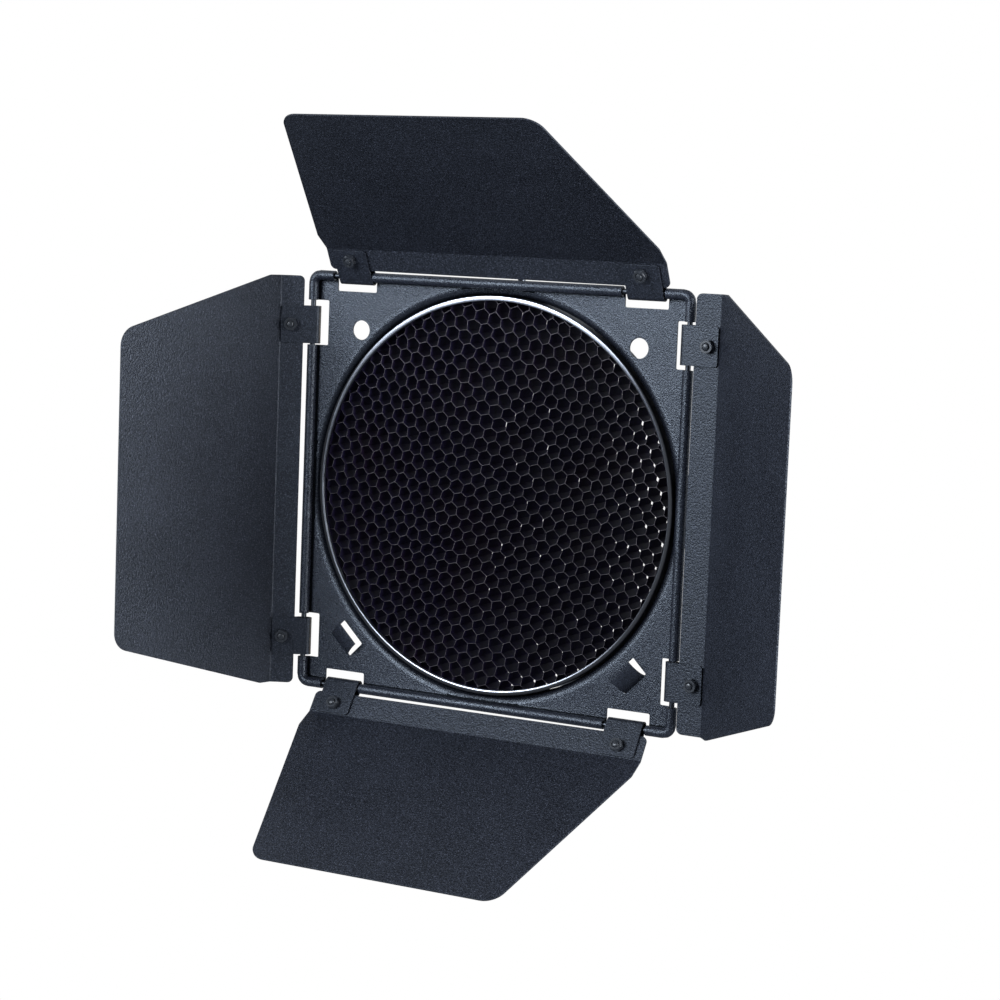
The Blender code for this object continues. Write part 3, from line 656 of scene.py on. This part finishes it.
def frame_cuts():
    cuts = []
    for side in range(4):
        cos, sin = (round(value) for value in cos_sin(math.pi / 2 * side))
        for sign in (-1, 1):
            middle = sign * NOTCH_U
            outline = round_rect(NOTCH_IN, NOTCH_OUT, middle - NOTCH_WIDTH / 2,
                                 middle + NOTCH_WIDTH / 2, 0.7)
            cuts.append(prism([(x * cos - z * sin, x * sin + z * cos) for x, z in outline], -6, 7))
    for sign in (-1, 1):
        cuts.append(prism(circle(sign * HOLE_X, HOLE_Z, HOLE_R, 48), 1, 6))
        outline = round_rect(SLOT_IN, SLOT_OUT, -SLOT_HALF, SLOT_HALF, 0.6)
        cuts.append(prism(outline, 1, 6, place_along(diagonal(sign, -1))))
    outline = round_rect(-RECESS_HALF, RECESS_HALF, RECESS_Y, COLLAR_END + 6, 3.0, 6)
    for quarter in range(4):
        cos, sin = cos_sin(math.pi / 4 + math.pi / 2 * quarter)
        place = place_along(Vector((cos, 0, sin)), hand=-1)
        cuts.append(tube([[place(out, y, side) for side, y in outline] for out in (70, 100)]))
    cuts.append(revolve([(0, 85), (LOCK_HOLE_R, 85), (LOCK_HOLE_R, 95), (0, 95)], 32, lock_stem))
    return cuts


def tongue(sign):
    """Strip that bends forward out of the plate over the slot in a lower corner."""
    half_width, edge = 6.3, 0.10
    half_sheet = SHEET / 2 - 0.04
    drop, bend_steps = 5.2, 14
    reach = SLOT_OUT - SLOT_IN - 0.3
    plate_y = (PLATE_FRONT + PLATE_BACK) / 2
    line = [(SLOT_OUT + 1.4, plate_y), (SLOT_OUT + 0.1, plate_y - 0.02)]
    for i in range(1, bend_steps + 1):
        cos, sin = cos_sin(math.radians(90.0 * i / bend_steps))
        line.append((SLOT_OUT - reach * (1 - cos) ** 0.85, plate_y - drop * sin))
    faces = ([], [])
    for i, point in enumerate(line):
        before, after = Vector(line[max(i - 1, 0)]), Vector(line[min(i + 1, len(line) - 1)])
        along = (after - before).normalized()
        normal = Vector((-along.y, along.x))
        faces[0].append(Vector(point) + normal * half_sheet)
        faces[1].append(Vector(point) - normal * half_sheet)
    place = place_along(diagonal(sign, -1))
    rings = []
    for side, inset in ((-half_width, edge), (edge - half_width, 0),
                        (half_width - edge, 0), (half_width, edge)):
        sheet = ([], [])
        for points in zip(*faces):
            middle = (points[0] + points[1]) / 2
            for row, point in zip(sheet, points):
                row.append(middle + (point - middle) * (1 - inset / half_sheet))
        rings.append([place(p.x, p.y, side) for p in sheet[0] + sheet[1][::-1]])
    return tube(rings)


def frame_sheet():
    rings = [sheet_ring(*station) for station in loop_stations(SIDE_STEPS, CORNER_STEPS)]
    ob = make("frame_sheet", tube(rings, closed_path=True), [MAT["frame"]], 40.0)
    carve(ob, frame_cuts(), "DIFFERENCE")
    carve(ob, [tongue(sign) for sign in (-1, 1)], "UNION")
    settle(ob, 38.0)
    # painted shade: faces in the crease between the curl and the plate get a near-black, nearly matt
    # coat
    ob.data.materials.append(MAT["crease_shade"])
    for poly in ob.data.polygons:
        centre = poly.center / MM
        y, far = centre.y - WIRE_Y, max(abs(centre.x), abs(centre.z))
        if (WIRE_HALF - 2.5 < far < WIRE_HALF - 0.85 and 1.2 < y < 2.95
                and poly.normal.y < 0.3):
            poly.material_index = 1
    hand_over(ob, "frame", "frame_plate")


def hinge_wire():
    around = [cos_sin(2 * math.pi * j / 18) for j in range(18)]
    rings = []
    for (px, pz), (nx, nz), _, _ in loop_stations(8, CORNER_STEPS):
        rings.append([(px + WIRE_R * sin * nx, WIRE_R * cos, pz + WIRE_R * sin * nz)
                      for cos, sin in around])
    ob = make("hinge_wire_loop", tube(rings, closed_path=True), [MAT["dark_wire"]], 60.0)
    hand_over(ob, "frame", "hinge_wire")


frame_sheet()
hinge_wire()


# =====================================================================================
# honeycomb grid, its band and the wire ring that stops it
# =====================================================================================
GRID_FRONT, GRID_BACK = y_range("grid_ring")
CORE_FRONT, CORE_BACK = y_range("honeycomb_core")
BEAD_IN, BEAD_OUT = 87.8, 90.2      # rolled front edge of the band
BAND_IN, BAND_OUT = 88.9, 90.0
CELL_PITCH = 6.38
CELL_WALL = 0.072
CORE_R = 88.75
CORE_TILT = math.radians(-11.0)     # turn of the cell rows
CORNER_JITTER = 0.34
SMALLEST_GAP = 0.25                 # cell corners closer than this are merged
SMALLEST_CELL = 0.7                 # cells with less open area (mm2) are left out


def grid_band():
    bead = (BEAD_OUT - BEAD_IN) / 2
    centre_r, centre_y = (BEAD_OUT + BEAD_IN) / 2, GRID_FRONT + bead

    def flattened(value):
        return math.copysign(abs(value) ** 0.52, value)

    # the bead is rolled flat: a wide, faintly domed front with tight rounds at its two edges
    profile = []
    for degrees in range(80, -96, -5):
        cos, sin = cos_sin(math.radians(degrees))
        profile.append((centre_r + bead * flattened(sin), centre_y - bead * flattened(cos)))
    edge = 0.15
    profile += [(BAND_IN, centre_y + bead * 0.95), (BAND_IN, GRID_BACK - edge),
                (BAND_IN + edge, GRID_BACK), (BAND_OUT - edge, GRID_BACK),
                (BAND_OUT, GRID_BACK - edge), (BAND_OUT, centre_y + 0.5)]
    shape = revolve(profile, 200, lambda r, angle, y: (r * math.cos(angle), y, r * math.sin(angle)))
    hand_over(make("grid_band", shape, [MAT["band"]], 50.0), "grid", "grid_ring")


def clip_to_circle(outline, radius, sides):
    """The part of a convex outline inside a circle drawn with straight sides."""
    for k in range(sides):
        nx, ny = cos_sin(2 * math.pi * (k + 0.5) / sides)
        beyond = [p[0] * nx + p[1] * ny - radius for p in outline]
        if max(beyond) <= 0:
            continue
        kept = []
        for i, p in enumerate(outline):
            j = (i + 1) % len(outline)
            if beyond[i] <= 0:
                kept.append(p)
            if beyond[i] * beyond[j] < 0:
                part = beyond[i] / (beyond[i] - beyond[j])
                kept.append((p[0] + part * (outline[j][0] - p[0]),
                             p[1] + part * (outline[j][1] - p[1])))
        outline = kept
        if not outline:
            return []
    return outline


def signed_area(outline):
    return sum(p[0] * q[1] - q[0] * p[1] for p, q in zip(outline, outline[1:] + outline[:1])) / 2


def inset(outline, width):
    """A convex outline with every side moved inward; empty where a side or corner is too tight."""
    if signed_area(outline) < 0:
        outline = outline[::-1]
    moved = []
    for i, corner in enumerate(outline):
        before, after = outline[i - 1], outline[(i + 1) % len(outline)]
        normals = []
        for start, end in ((before, corner), (corner, after)):
            dx, dy = end[0] - start[0], end[1] - start[1]
            length = math.hypot(dx, dy)
            if length < 1e-9:
                return []
            normals.append((-dy / length, dx / length))
        (ax, ay), (bx, by) = normals
        scale = 1 + ax * bx + ay * by
        if scale < 0.15:
            return []
        moved.append((corner[0] + width * (ax + bx) / scale,
                      corner[1] + width * (ay + by) / scale))
    return moved


def lattice_warp(rng):
    """Where a lattice corner ends up: rows sag and fan a little, as expanded foil does."""
    jitter = {}
    cos, sin = cos_sin(CORE_TILT)

    def warp(x, z):
        key = (round(x * 20), round(z * 20))
        if key not in jitter:
            jitter[key] = (rng.uniform(-CORNER_JITTER, CORNER_JITTER),
                           rng.uniform(-CORNER_JITTER, CORNER_JITTER))
        jx, jz = jitter[key]
        u, v = x / CORE_R, z / CORE_R
        wx = x + 2.2 * math.sin(2.1 * v + 0.6) - 1.5 * u * v + 0.9 * math.sin(5.3 * u + 1.7 * v)
        wz = z + 5.5 * u * u * (0.4 - 0.9 * v) + 1.1 * math.sin(4.1 * u - 2.3 * v)
        return (wx * cos - wz * sin + jx, wx * sin + wz * cos + jz)

    return warp


def cell_lean(p):
    """Cells lean to the right towards the back, the lower ones more, but not at the band."""
    lean = 0.55 + 0.30 * smoothstep(0.5 - p[1] / CORE_R * 1.2 - p[0] / CORE_R * 0.5)
    return lean * (1 - min(1.0, math.hypot(*p) / CORE_R) ** 8)


def cell_walls(outline):
    """Outer and inner outline of the foil round one cell, or None where it is too small."""
    outline = clip_to_circle(outline, CORE_R, 150)
    if len(outline) < 3:
        return None
    merged = [p for k, p in enumerate(outline) if math.dist(p, outline[k - 1]) > SMALLEST_GAP]
    if len(merged) < 3:
        return None
    outer, inner = inset(merged, 0.004), inset(merged, CELL_WALL)
    if not outer or not inner or signed_area(inner) < SMALLEST_CELL:
        return None
    return outer, inner


def grid_cells():
    """Expanded foil core: a slightly pulled and twisted hexagon lattice of thin-walled cells."""
    rng = random.Random(7)
    warp = lattice_warp(rng)
    row = CELL_PITCH * math.sqrt(3) / 2
    side = CELL_PITCH / math.sqrt(3)
    rows = int(CORE_R / row) + 6
    verts, faces, face_materials = [], [], []
    for j in range(-rows, rows + 1):
        for i in range(-rows, rows + 1):
            cx, cz = (i + 0.5 * (j % 2)) * CELL_PITCH, j * row
            if math.hypot(cx, cz) > CORE_R + 14:
                continue
            walls = cell_walls([warp(cx + side * math.sin(math.pi / 3 * k),
                                     cz + side * math.cos(math.pi / 3 * k)) for k in range(6)])
            if not walls:
                continue
            count, base = len(walls[0]), len(verts)
            burr = [rng.uniform(0.0, 0.12) for _ in range(count)]
            for loop in walls:
                verts += [(p[0], CORE_FRONT + burr[k], p[1]) for k, p in enumerate(loop)]
            for loop in walls:
                verts += [(p[0] + cell_lean(p), CORE_BACK - burr[-k], p[1])
                          for k, p in enumerate(loop)]
            outer_front, inner_front, outer_back, inner_back = (
                base + count * k for k in range(4))
            for k in range(count):
                k2 = (k + 1) % count
                for near, far, material in ((outer_front, inner_front, 1),
                                            (inner_front, inner_back, 0),
                                            (inner_back, outer_back, 1),
                                            (outer_back, outer_front, 0)):
                    faces.append((near + k, near + k2, far + k2, far + k))
                    face_materials.append(material)
    ob = make("grid_cells", (verts, faces), [MAT["foil"], MAT["foil_edge"]], 30.0,
              face_materials=face_materials)
    hand_over(ob, "grid", "honeycomb_core")


def stop_ring():
    """Wire ring inside the collar, open for a short gap at the bottom."""
    ring_r, wire_r, steps = COLLAR_IN - 0.82, 0.8, 160
    start, sweep = 276, 348
    y = y_middle("grid_stop_ring")
    rings = []
    for i in range(steps + 1):
        cos, sin = cos_sin(math.radians(start + sweep * i / steps))
        thick = wire_r * (1.0 if 0 < i < steps else 0.75)
        ring = []
        for k in range(12):
            out, back = cos_sin(2 * math.pi * k / 12)
            ring.append(((ring_r + thick * out) * cos, y + thick * back,
                         (ring_r + thick * out) * sin))
        rings.append(ring)
    ob = make("stop_ring_wire", tube(rings), [MAT["wire"]], 60.0)
    hand_over(ob, "frame", "grid_stop_ring")


grid_band()
grid_cells()
stop_ring()

# =====================================================================================
# leaves with their clips, screws and nuts
#
# Each door has axes u along the hinge, v away from it along the flange, n to the flange's
# front; their origin is on the wire.
# =====================================================================================
LEAF_T, LEAF_N = 0.8, 0.9           # thickness, and where the flange lies along n
LEAF_V0, LEAF_FOLD, LEAF_BEND = 4.28, 15.14, 1.6    # flange edge, fold line, bend radius
# fold: degrees; side and tip: half width at root and tip; straight: length past the fold
# before the sides slant; reach: length past the fold
LONG = dict(fold=48.2, side=95.4, tip=70.2, straight=6.5, reach=92.8)
SHORT = dict(fold=26.7, side=85.2, tip=60.3, straight=9.9, reach=96.5)
# side: outward, opening angle, slip along the wire, flange edge nearer to the wire by,
# flange edge leaning to the wire from end to end by (towards +u where positive), shape
LEAVES = {
    "top": (Vector((0, 0, 1)), 27.7, 1.3, 0, 0.8, SHORT),
    "bottom": (Vector((0, 0, -1)), 33.7, -0.6, 0, -0.8, SHORT),
    "left": (Vector((-1, 0, 0)), 27.4, -0.8, 0, 0, LONG),
    "right": (Vector((1, 0, 0)), 1.0, -0.8, 1.1, 0, LONG),
}
CLIP_U, CLIP_W = 73.0, 17.3         # place along the hinge, and width
CLIP_BACK, CLIP_IN = 1.4, 1.6       # where the hairpin's bend starts, and its inner radius
CLIP_FRONT_END, CLIP_REAR_END = 14.5, 13.0
CLIP_CORNER = 1.4
PART_GAP = 0.3                      # left between leaf, clip, screw head and nut
SCREW_V, SCREW_R, BORE_R = 10.0, 1.5, 1.8
NUT_AF, NUT_H = 5.5, 2.4            # width across flats, height
CLIP_REAR_FACE = LEAF_N - LEAF_T / 2 - PART_GAP - SHEET
CLIP_FRONT_FACE = CLIP_IN + SHEET


def strip(stations, thickness):
    """Sheet bent along a line.

    A station is its (v, n) point, the direction of thickness, the half width and the skew:
    how far v is drawn back, at the middle and per unit of u.
    """
    rings = []
    for point, normal, half, skew in stations:
        upper, lower = point + normal * thickness / 2, point - normal * thickness / 2
        rings.append([(u, q.x - skew[0] - skew[1] * u, q.y)
                      for u, q in ((-half, upper), (half, upper), (half, lower), (-half, lower))])
    return tube(rings)


def leaf_outline(shape):
    """[(distance along the sheet, half width)] and the distances across the fold."""
    root, tip, root_r, slant_r, tip_r = shape["side"], shape["tip"], 2.5, 5.0, 9.0
    straight, reach = shape["straight"], shape["reach"]
    fold = LEAF_FOLD - LEAF_V0
    outline = []
    for i in range(9):
        cos, sin = cos_sin(math.pi / 2 * (1 - i / 8))
        outline.append((root_r * (1 - sin), root - root_r * (1 - cos)))
    run = LEAF_BEND * math.tan(math.radians(shape["fold"]) / 2)
    marks = [fold - run + 2 * run * i / 10 for i in range(11)]
    outline += [(mark, root) for mark in marks]
    # the side turns into the slant over a short radius
    slope = math.atan2(root - tip, reach - straight)
    start = fold + straight - slant_r * math.tan(slope / 2)
    outline.append((start, root))
    for i in range(1, 5):
        cos, sin = cos_sin(slope * i / 4)
        outline.append((start + slant_r * sin, root - slant_r * (1 - cos)))
    turn = math.pi / 2 - slope
    centre_s, centre_u = fold + reach - tip_r, tip - tip_r * math.tan(turn / 2)
    for i in range(17):
        cos, sin = cos_sin(slope + turn * i / 16)
        outline.append((centre_s + tip_r * sin, centre_u + tip_r * cos))
    return outline, marks


def leaf_at(distance, marks, shape):
    """(v, n) point and normal of the leaf at a distance along the sheet."""
    fold_angle = math.radians(shape["fold"])
    if distance <= marks[0] + 1e-6:
        return Vector((LEAF_V0 + distance, LEAF_N)), Vector((0, 1))
    if distance >= marks[-1] - 1e-6:
        past = distance - (LEAF_FOLD - LEAF_V0)
        cos, sin = cos_sin(fold_angle)
        return Vector((LEAF_FOLD + past * cos, LEAF_N + past * sin)), Vector((-sin, cos))
    cos, sin = cos_sin((distance - marks[0]) / (marks[-1] - marks[0]) * fold_angle)
    return (Vector((LEAF_V0 + marks[0] + LEAF_BEND * sin, LEAF_N + LEAF_BEND * (1 - cos))),
            Vector((-sin, cos)))


def clip_line():
    """Middle line of the hairpin: front leg, bend round the wire, step, rear leg; in (v, n)."""
    radius = CLIP_IN + SHEET / 2
    line = [Vector((v, radius)) for v in (CLIP_FRONT_END, 8, -CLIP_BACK)]
    for i in range(1, 12):
        cos, sin = cos_sin(math.pi / 2 + math.pi * i / 12)
        line.append(Vector((-CLIP_BACK + radius * cos, radius * sin)))
    rear = LEAF_N - LEAF_T / 2 - PART_GAP - SHEET / 2
    line.append(Vector((-CLIP_BACK, -radius)))
    for i in range(9):
        t = i / 8
        line.append(Vector((2.0 + 4.0 * t, -radius + (rear + radius) * smoothstep(t))))
    line.append(Vector((CLIP_REAR_END, rear)))
    return line


def clip_strip():
    line, half, no_skew = clip_line(), CLIP_W / 2, (0, 0)

    def rounded_end(start, end, at_start):
        """Stations round the corners at the free start or end of a leg."""
        length = (end - start).length
        along = (end - start).normalized()
        stations = []
        for i in range(6):
            cos, sin = cos_sin(math.pi / 2 * (1 - i / 5 if at_start else i / 5))
            part = CLIP_CORNER * (1 - sin) / length
            point = start.lerp(end, part if at_start else 1 - part)
            stations.append((point, Vector((-along.y, along.x)),
                             half - CLIP_CORNER * (1 - cos), no_skew))
        return stations

    stations = rounded_end(line[0], line[1], True)
    for before, point, after in zip(line, line[1:], line[2:]):
        arriving = (point - before).normalized()
        along = (arriving + (after - point).normalized()).normalized()
        normal = Vector((-along.y, along.x)) / max(along.dot(arriving), 0.5)
        stations.append((point, normal, half, no_skew))
    stations += rounded_end(line[-2], line[-1], False)
    return strip(stations, SHEET)


def threaded(radius, pitch, start, end, depth, place, segments, dome):
    """Shank with a helical thread, closed at both ends by a low dome."""
    steps = max(8, int((end - start) / pitch * 6))
    angles = [2 * math.pi * k / segments for k in range(segments)]
    tip_r = (radius - depth) * 0.80
    rings = [[place(tip_r, angle, start - dome) for angle in angles]]
    # rings stacked along the axis: radius follows the helix phase
    for i in range(steps + 1):
        height = start + (end - start) * i / steps
        fade = smoothstep(min(height - start, end - height) / (pitch * 0.8))
        ring = []
        for k, angle in enumerate(angles):
            phase = ((height - start) / pitch - k / segments) % 1.0
            cut = depth * (1 - abs(2 * phase - 1))
            ring.append(place(radius - depth * (1 - fade) * 0.9 - cut * fade, angle, height))
        rings.append(ring)
    rings.append([place(tip_r, angle, end + dome) for angle in angles])
    return tube(rings)


def hex_nut(across_flats, start, end, bore, place, segments=36):
    """Chamfered hexagon nut with a countersunk bore; place(x, y, height)."""
    flat = across_flats / 2
    chamfer = (flat / math.cos(math.pi / 6) - flat) * 0.62
    angles = [2 * math.pi * k / segments for k in range(segments)]

    def round_ring(radius, height):
        return [place(radius * math.cos(t), radius * math.sin(t), height) for t in angles]

    def hex_ring(height, inward):
        """Hexagon whose edge follows the chamfer arcs on the six flats."""
        ring = []
        for t in angles:
            radius = flat / math.cos((t % (math.pi / 3)) - math.pi / 6)
            drop = (radius - flat) * 0.60
            ring.append(place(radius * math.cos(t), radius * math.sin(t),
                              height + inward * drop - inward * chamfer * 0.55))
        return ring

    rim, sink = flat * 0.985, 0.30
    return tube([round_ring(rim, start), hex_ring(start + chamfer, 1),
                 hex_ring(end - chamfer, -1), round_ring(rim, end),
                 round_ring(bore + sink, end), round_ring(bore, end - sink),
                 round_ring(bore, start + sink), round_ring(bore + sink, start)],
                closed_path=True)


def screw_place(radius, angle, height, u=0):
    return (u + radius * math.cos(angle), SCREW_V + radius * math.sin(angle), height)


def screw_bore(u=0):
    return revolve([(0, -3), (BORE_R, -3), (BORE_R, 4), (0, 4)], 24,
                   lambda radius, angle, height: screw_place(radius, angle, height, u))


def door_matrix(side, outward, angle, slip):
    cos, sin = cos_sin(math.radians(angle))
    front = Vector((0, -1, 0))
    v_axis = outward * cos + front * sin
    n_axis = -outward * sin + front * cos
    u_axis = v_axis.cross(n_axis)
    matrix = Matrix((u_axis, v_axis, n_axis)).transposed().to_4x4()
    matrix.translation = Vector(JOINT[side + "_door_hinge"]["pos_m"]) + u_axis * slip * MM
    return matrix


def leaf(side, body, matrix, nearer, lean, shape):
    outline, marks = leaf_outline(shape)
    stations = []
    for distance, half in outline:
        # the skew fades out from the flange edge to the fold
        fade = max(0.0, 1 - distance / marks[0])
        skew = (fade * (nearer + abs(lean) / 2), fade * lean / 2 / shape["side"])
        stations.append((*leaf_at(distance, marks, shape), half, skew))
    ob = make(side + "_leaf_sheet", strip(stations, LEAF_T), [MAT["leaf"]], 30.0, matrix)
    carve(ob, [screw_bore(u) for u in (-CLIP_U, CLIP_U)], "DIFFERENCE", matrix)
    settle(ob, 30.0, bevel=0.16)
    hand_over(ob, body, side + "_leaf")


def clip(side, hand, body, matrix):
    ob = make("%s_clip_%s_sheet" % (side, hand), clip_strip(), [MAT["clip"]], 40.0, matrix)
    carve(ob, [screw_bore()], "DIFFERENCE", matrix)
    settle(ob, 40.0, bevel=0.10)
    # the coat has rubbed off where the hairpin turns round the wire
    ob.data.materials.append(MAT["clip_worn"])
    to_clip = matrix.inverted()
    for poly in ob.data.polygons:
        if (to_clip @ poly.center).y < -(CLIP_BACK + 1.5) * MM:
            poly.material_index = 1
    hand_over(ob, body, "%s_clip_%s" % (side, hand))


def screw(side, hand, body, matrix):
    """Pan head behind the clip with a cross recess, on a threaded shank."""
    seat = CLIP_REAR_FACE - PART_GAP
    head_r, head_h = 2.8, 1.9
    profile = [(0, seat - head_h)]
    for i in range(2, 10):
        cos, sin = cos_sin(math.pi / 2 * i / 9)
        profile.append((head_r * sin, seat - head_h + 1.15 * (1 - cos) ** 1.3))
    profile += [(head_r, seat - 0.12), (head_r - 0.12, seat), (SCREW_R, seat),
                (SCREW_R, seat + 0.35), (0, seat + 0.35)]
    ob = make("%s_screw_%s_steel" % (side, hand), revolve(profile, 32, screw_place),
              [MAT["black_steel"]], 40.0, matrix)
    shank_end = CLIP_FRONT_FACE + PART_GAP + NUT_H + 0.55
    carve(ob, [threaded(SCREW_R, pitch=0.5, start=seat + 0.1, end=shank_end, depth=0.24,
                        place=screw_place, segments=20, dome=0.15)], "UNION", matrix)
    half_w, half_l, taper = 0.42, 1.65, 0.45
    arm = [(-half_l, -half_w), (half_l, -half_w), (half_l, half_w), (-half_l, half_w)]
    for mouth in (arm, [(y, x) for x, y in arm][::-1]):
        floor = [tuple(value * taper if abs(value) > 1 else value for value in point)
                 for point in mouth]
        recess = tube([[(x, SCREW_V + y, height) for x, y in points]
                       for points, height in ((mouth, seat - 2.4), (floor, seat - 0.75))])
        carve(ob, [recess], "DIFFERENCE", matrix)
    settle(ob, 35.0, weighted=False)
    hand_over(ob, body, "%s_screw_%s" % (side, hand))


def nut(side, hand, body, matrix, sign):
    # every nut stopped at its own angle
    cos, sin = cos_sin(math.radians((37 * (sign + 2) + 23 * len(side)) % 60))
    start = CLIP_FRONT_FACE + PART_GAP
    shape = hex_nut(NUT_AF, start, start + NUT_H, 1.55,
                    lambda x, y, h: (x * cos - y * sin, SCREW_V + x * sin + y * cos, h))
    ob = make("%s_nut_%s_steel" % (side, hand), shape, [MAT["black_steel"]], 28.0, matrix)
    hand_over(ob, body, "%s_nut_%s" % (side, hand))


def door(side, outward, angle, slip, nearer, lean, shape):
    body = side + "_door"
    matrix = door_matrix(side, outward, angle, slip)
    leaf(side, body, matrix, nearer, lean, shape)
    for sign, hand in ((-1, "a"), (1, "b")):
        clip_matrix = matrix @ Matrix.Translation((sign * CLIP_U * MM, 0, 0))
        clip(side, hand, body, clip_matrix)
        screw(side, hand, body, clip_matrix)
        nut(side, hand, body, clip_matrix, sign)


for side, values in LEAVES.items():
    door(side, *values)


# =====================================================================================
# clamp screw at the top of the collar
# =====================================================================================
def clamp_pad():
    """Turned disc with a rounded rim."""
    low, high = z_range("lock_pad")
    profile = [(0, low), (3.6, low), (3.9, low + 0.12), (4.0, low + 0.4),
               (4.0, high - 0.4), (3.9, high - 0.12), (3.6, high), (0, high)]
    ob = make("clamp_pad_disc", revolve(profile, 48, lock_stem), [MAT["wire"]], 50.0)
    hand_over(ob, "lock_foot", "lock_pad")


def clamp_nut():
    low, high = z_range("lock_nut")
    shape = hex_nut(8.0, low, high, 2.2, lambda x, y, height: (x, LOCK_Y + y, height), 48)
    ob = make("clamp_nut_hex", shape, [MAT["black_steel"]], 28.0)
    hand_over(ob, "frame", "lock_nut")


def clamp_screw():
    low, high = z_range("lock_screw")
    dome = 0.2
    shape = threaded(1.95, pitch=0.7, start=low + dome, end=high - dome, depth=0.36,
                     place=lock_stem, segments=28, dome=dome)
    ob = make("clamp_screw_thread", shape, [MAT["zinc"]], 30.0)
    hand_over(ob, "lock_thumbscrew", "lock_screw")


def clamp_knob():
    low, high = z_range("lock_knob")
    radius = y_range("lock_knob")[1] - LOCK_Y
    flutes, flute_depth, smooth_r = 24, 0.055, 5.4
    rim = 1.2

    def fluted(r, angle, height):
        scale = 1.0
        if r > smooth_r:
            fade = smoothstep(min(height - (low + 2.2), high - 0.9 - height) / 0.9)
            scale -= flute_depth * fade * (0.5 - 0.5 * math.cos(flutes * angle)) ** 1.6
        return lock_stem(r * scale, angle, height)

    # neck, flared underside, grip, rounded rim, dished top and the bore below it
    profile = [(2.3, low + 0.25), (2.55, low), (4.35, low), (4.6, low + 0.25), (4.6, low + 1.5),
               (5.0, low + 1.75), (radius - 0.7, low + 2.05), (radius - 0.2, low + 2.3)]
    profile += [(radius, low + 2.7 + (high - low - 4.3) * i / 8) for i in range(9)]
    for i in range(1, 7):
        sin = math.sin(math.pi / 2 * i / 6)
        profile.append((radius - rim * sin * sin, high - rim + rim * sin))
    profile += [(5.6, high), (5.2, high - 0.35), (4.8, high - 0.5), (0, high - 0.5),
                (0, high - 1.2), (2.3, high - 1.2)]
    ob = make("clamp_knob_fluted", revolve(profile, 192, fluted), [MAT["knob"]], 40.0)
    hand_over(ob, "lock_thumbscrew", "lock_knob")


clamp_pad()
clamp_nut()
clamp_screw()
clamp_knob()


# =====================================================================================
# stage: floor, light, camera; in metres
# =====================================================================================
FLOOR_HALF, FLOOR_Z = 40.0, -0.75


def add_object(name, data):
    ob = bpy.data.objects.new(name, data)
    bpy.context.scene.collection.objects.link(ob)
    return ob


def add_floor():
    mesh = bpy.data.meshes.new("floor")
    corners = [(x * FLOOR_HALF, y * FLOOR_HALF, FLOOR_Z)
               for x, y in ((-1, -1), (1, -1), (1, 1), (-1, 1))]
    mesh.from_pydata(corners, [], [(0, 1, 2, 3)])
    floor = add_object("floor", mesh)
    tree = new_material("pale_floor")
    pale = tree.add("BsdfDiffuse", {"Color": (0.23, 0.24, 0.26)})
    # the camera sees the floor as evenly white as the backdrop behind it
    camera_ray = tree.add("LightPath").outputs["Is Camera Ray"]
    white = tree.add("Emission", {"Color": (1, 1, 1), "Strength": 1.0})
    mesh.materials.append(tree.finish(
        tree.add("MixShader", {0: camera_ray, 1: pale, 2: white})))


def add_world():
    """A white backdrop behind, a dim room in front."""
    world = bpy.data.worlds.new("studio")
    bpy.context.scene.world = world
    tree = ShaderTree(world)
    direction = tree.split(tree.coords("Generated"))
    back = tree.remap(direction["Y"], span=(-0.35, 0.45), to=(0.045, 1.0))
    high = tree.remap(direction["Z"], span=(0.25, 0.95), to=(1.0, 0.12))
    # rays from the camera see plain white; the light the world gives is slightly cool
    camera_ray = tree.add("LightPath").outputs["Is Camera Ray"]
    tree.finish(tree.add("Background", {
        "Color": tree.mix(camera_ray, (0.88, 0.94, 1.0), (1.0, 1.0, 1.0)),
        "Strength": tree.math("MAXIMUM", tree.mul(back, high), camera_ray)}), "OutputWorld")


def softbox(name, place, size, power, color, target=(0, 0, 0)):
    light = bpy.data.lights.new(name, "AREA")
    light.shape = "RECTANGLE"
    light.size, light.size_y = size
    light.energy = power
    light.color = color
    ob = add_object(name, light)
    ob.location = place
    ob.rotation_mode = "QUATERNION"
    ob.rotation_quaternion = (Vector(target) - Vector(place)).to_track_quat("-Z", "Y")
    ob.visible_camera = False


def add_camera():
    camera = bpy.data.cameras.new("camera")
    ob = add_object("camera", camera)
    camera.sensor_fit = "HORIZONTAL"
    camera.sensor_width = 36.0
    camera.lens = 88.92
    camera.clip_start, camera.clip_end = 0.05, 100.0
    right = Vector((0.87882663, 0.47549454, 0.03960669))
    down = Vector((0.08829762, -0.08049586, -0.99283631))
    ahead = Vector((-0.46890007, 0.87602817, -0.11272695))
    pose = Matrix((right, -down, -ahead)).transposed().to_4x4()
    pose.translation = Vector((0.52461246, -0.96765288 + WIRE_Y * MM, 0.12387449))
    ob.matrix_world = pose
    bpy.context.scene.camera = ob


add_floor()
add_world()
softbox("key", place=(-0.86, -1.92, 0.65), size=(1.3, 1.0), power=45.0, color=(0.80, 0.885, 1.0))
softbox("side", place=(2.0, -0.34, 0.25), size=(1.2, 1.2), power=52.0, color=(0.88, 0.93, 1.0),
        target=(0, -0.05, 0))
softbox("fill", place=(-1.85, -0.80, 0.20), size=(0.9, 0.9), power=5.0, color=(0.84, 0.91, 1.0))
softbox("top", place=(-0.75, -0.30, 1.55), size=(1.3, 1.1), power=3.0, color=(0.90, 0.94, 1.0))
add_camera()
bpy.context.scene.view_settings.view_transform = "Standard"
bpy.context.scene.view_settings.look = "None"
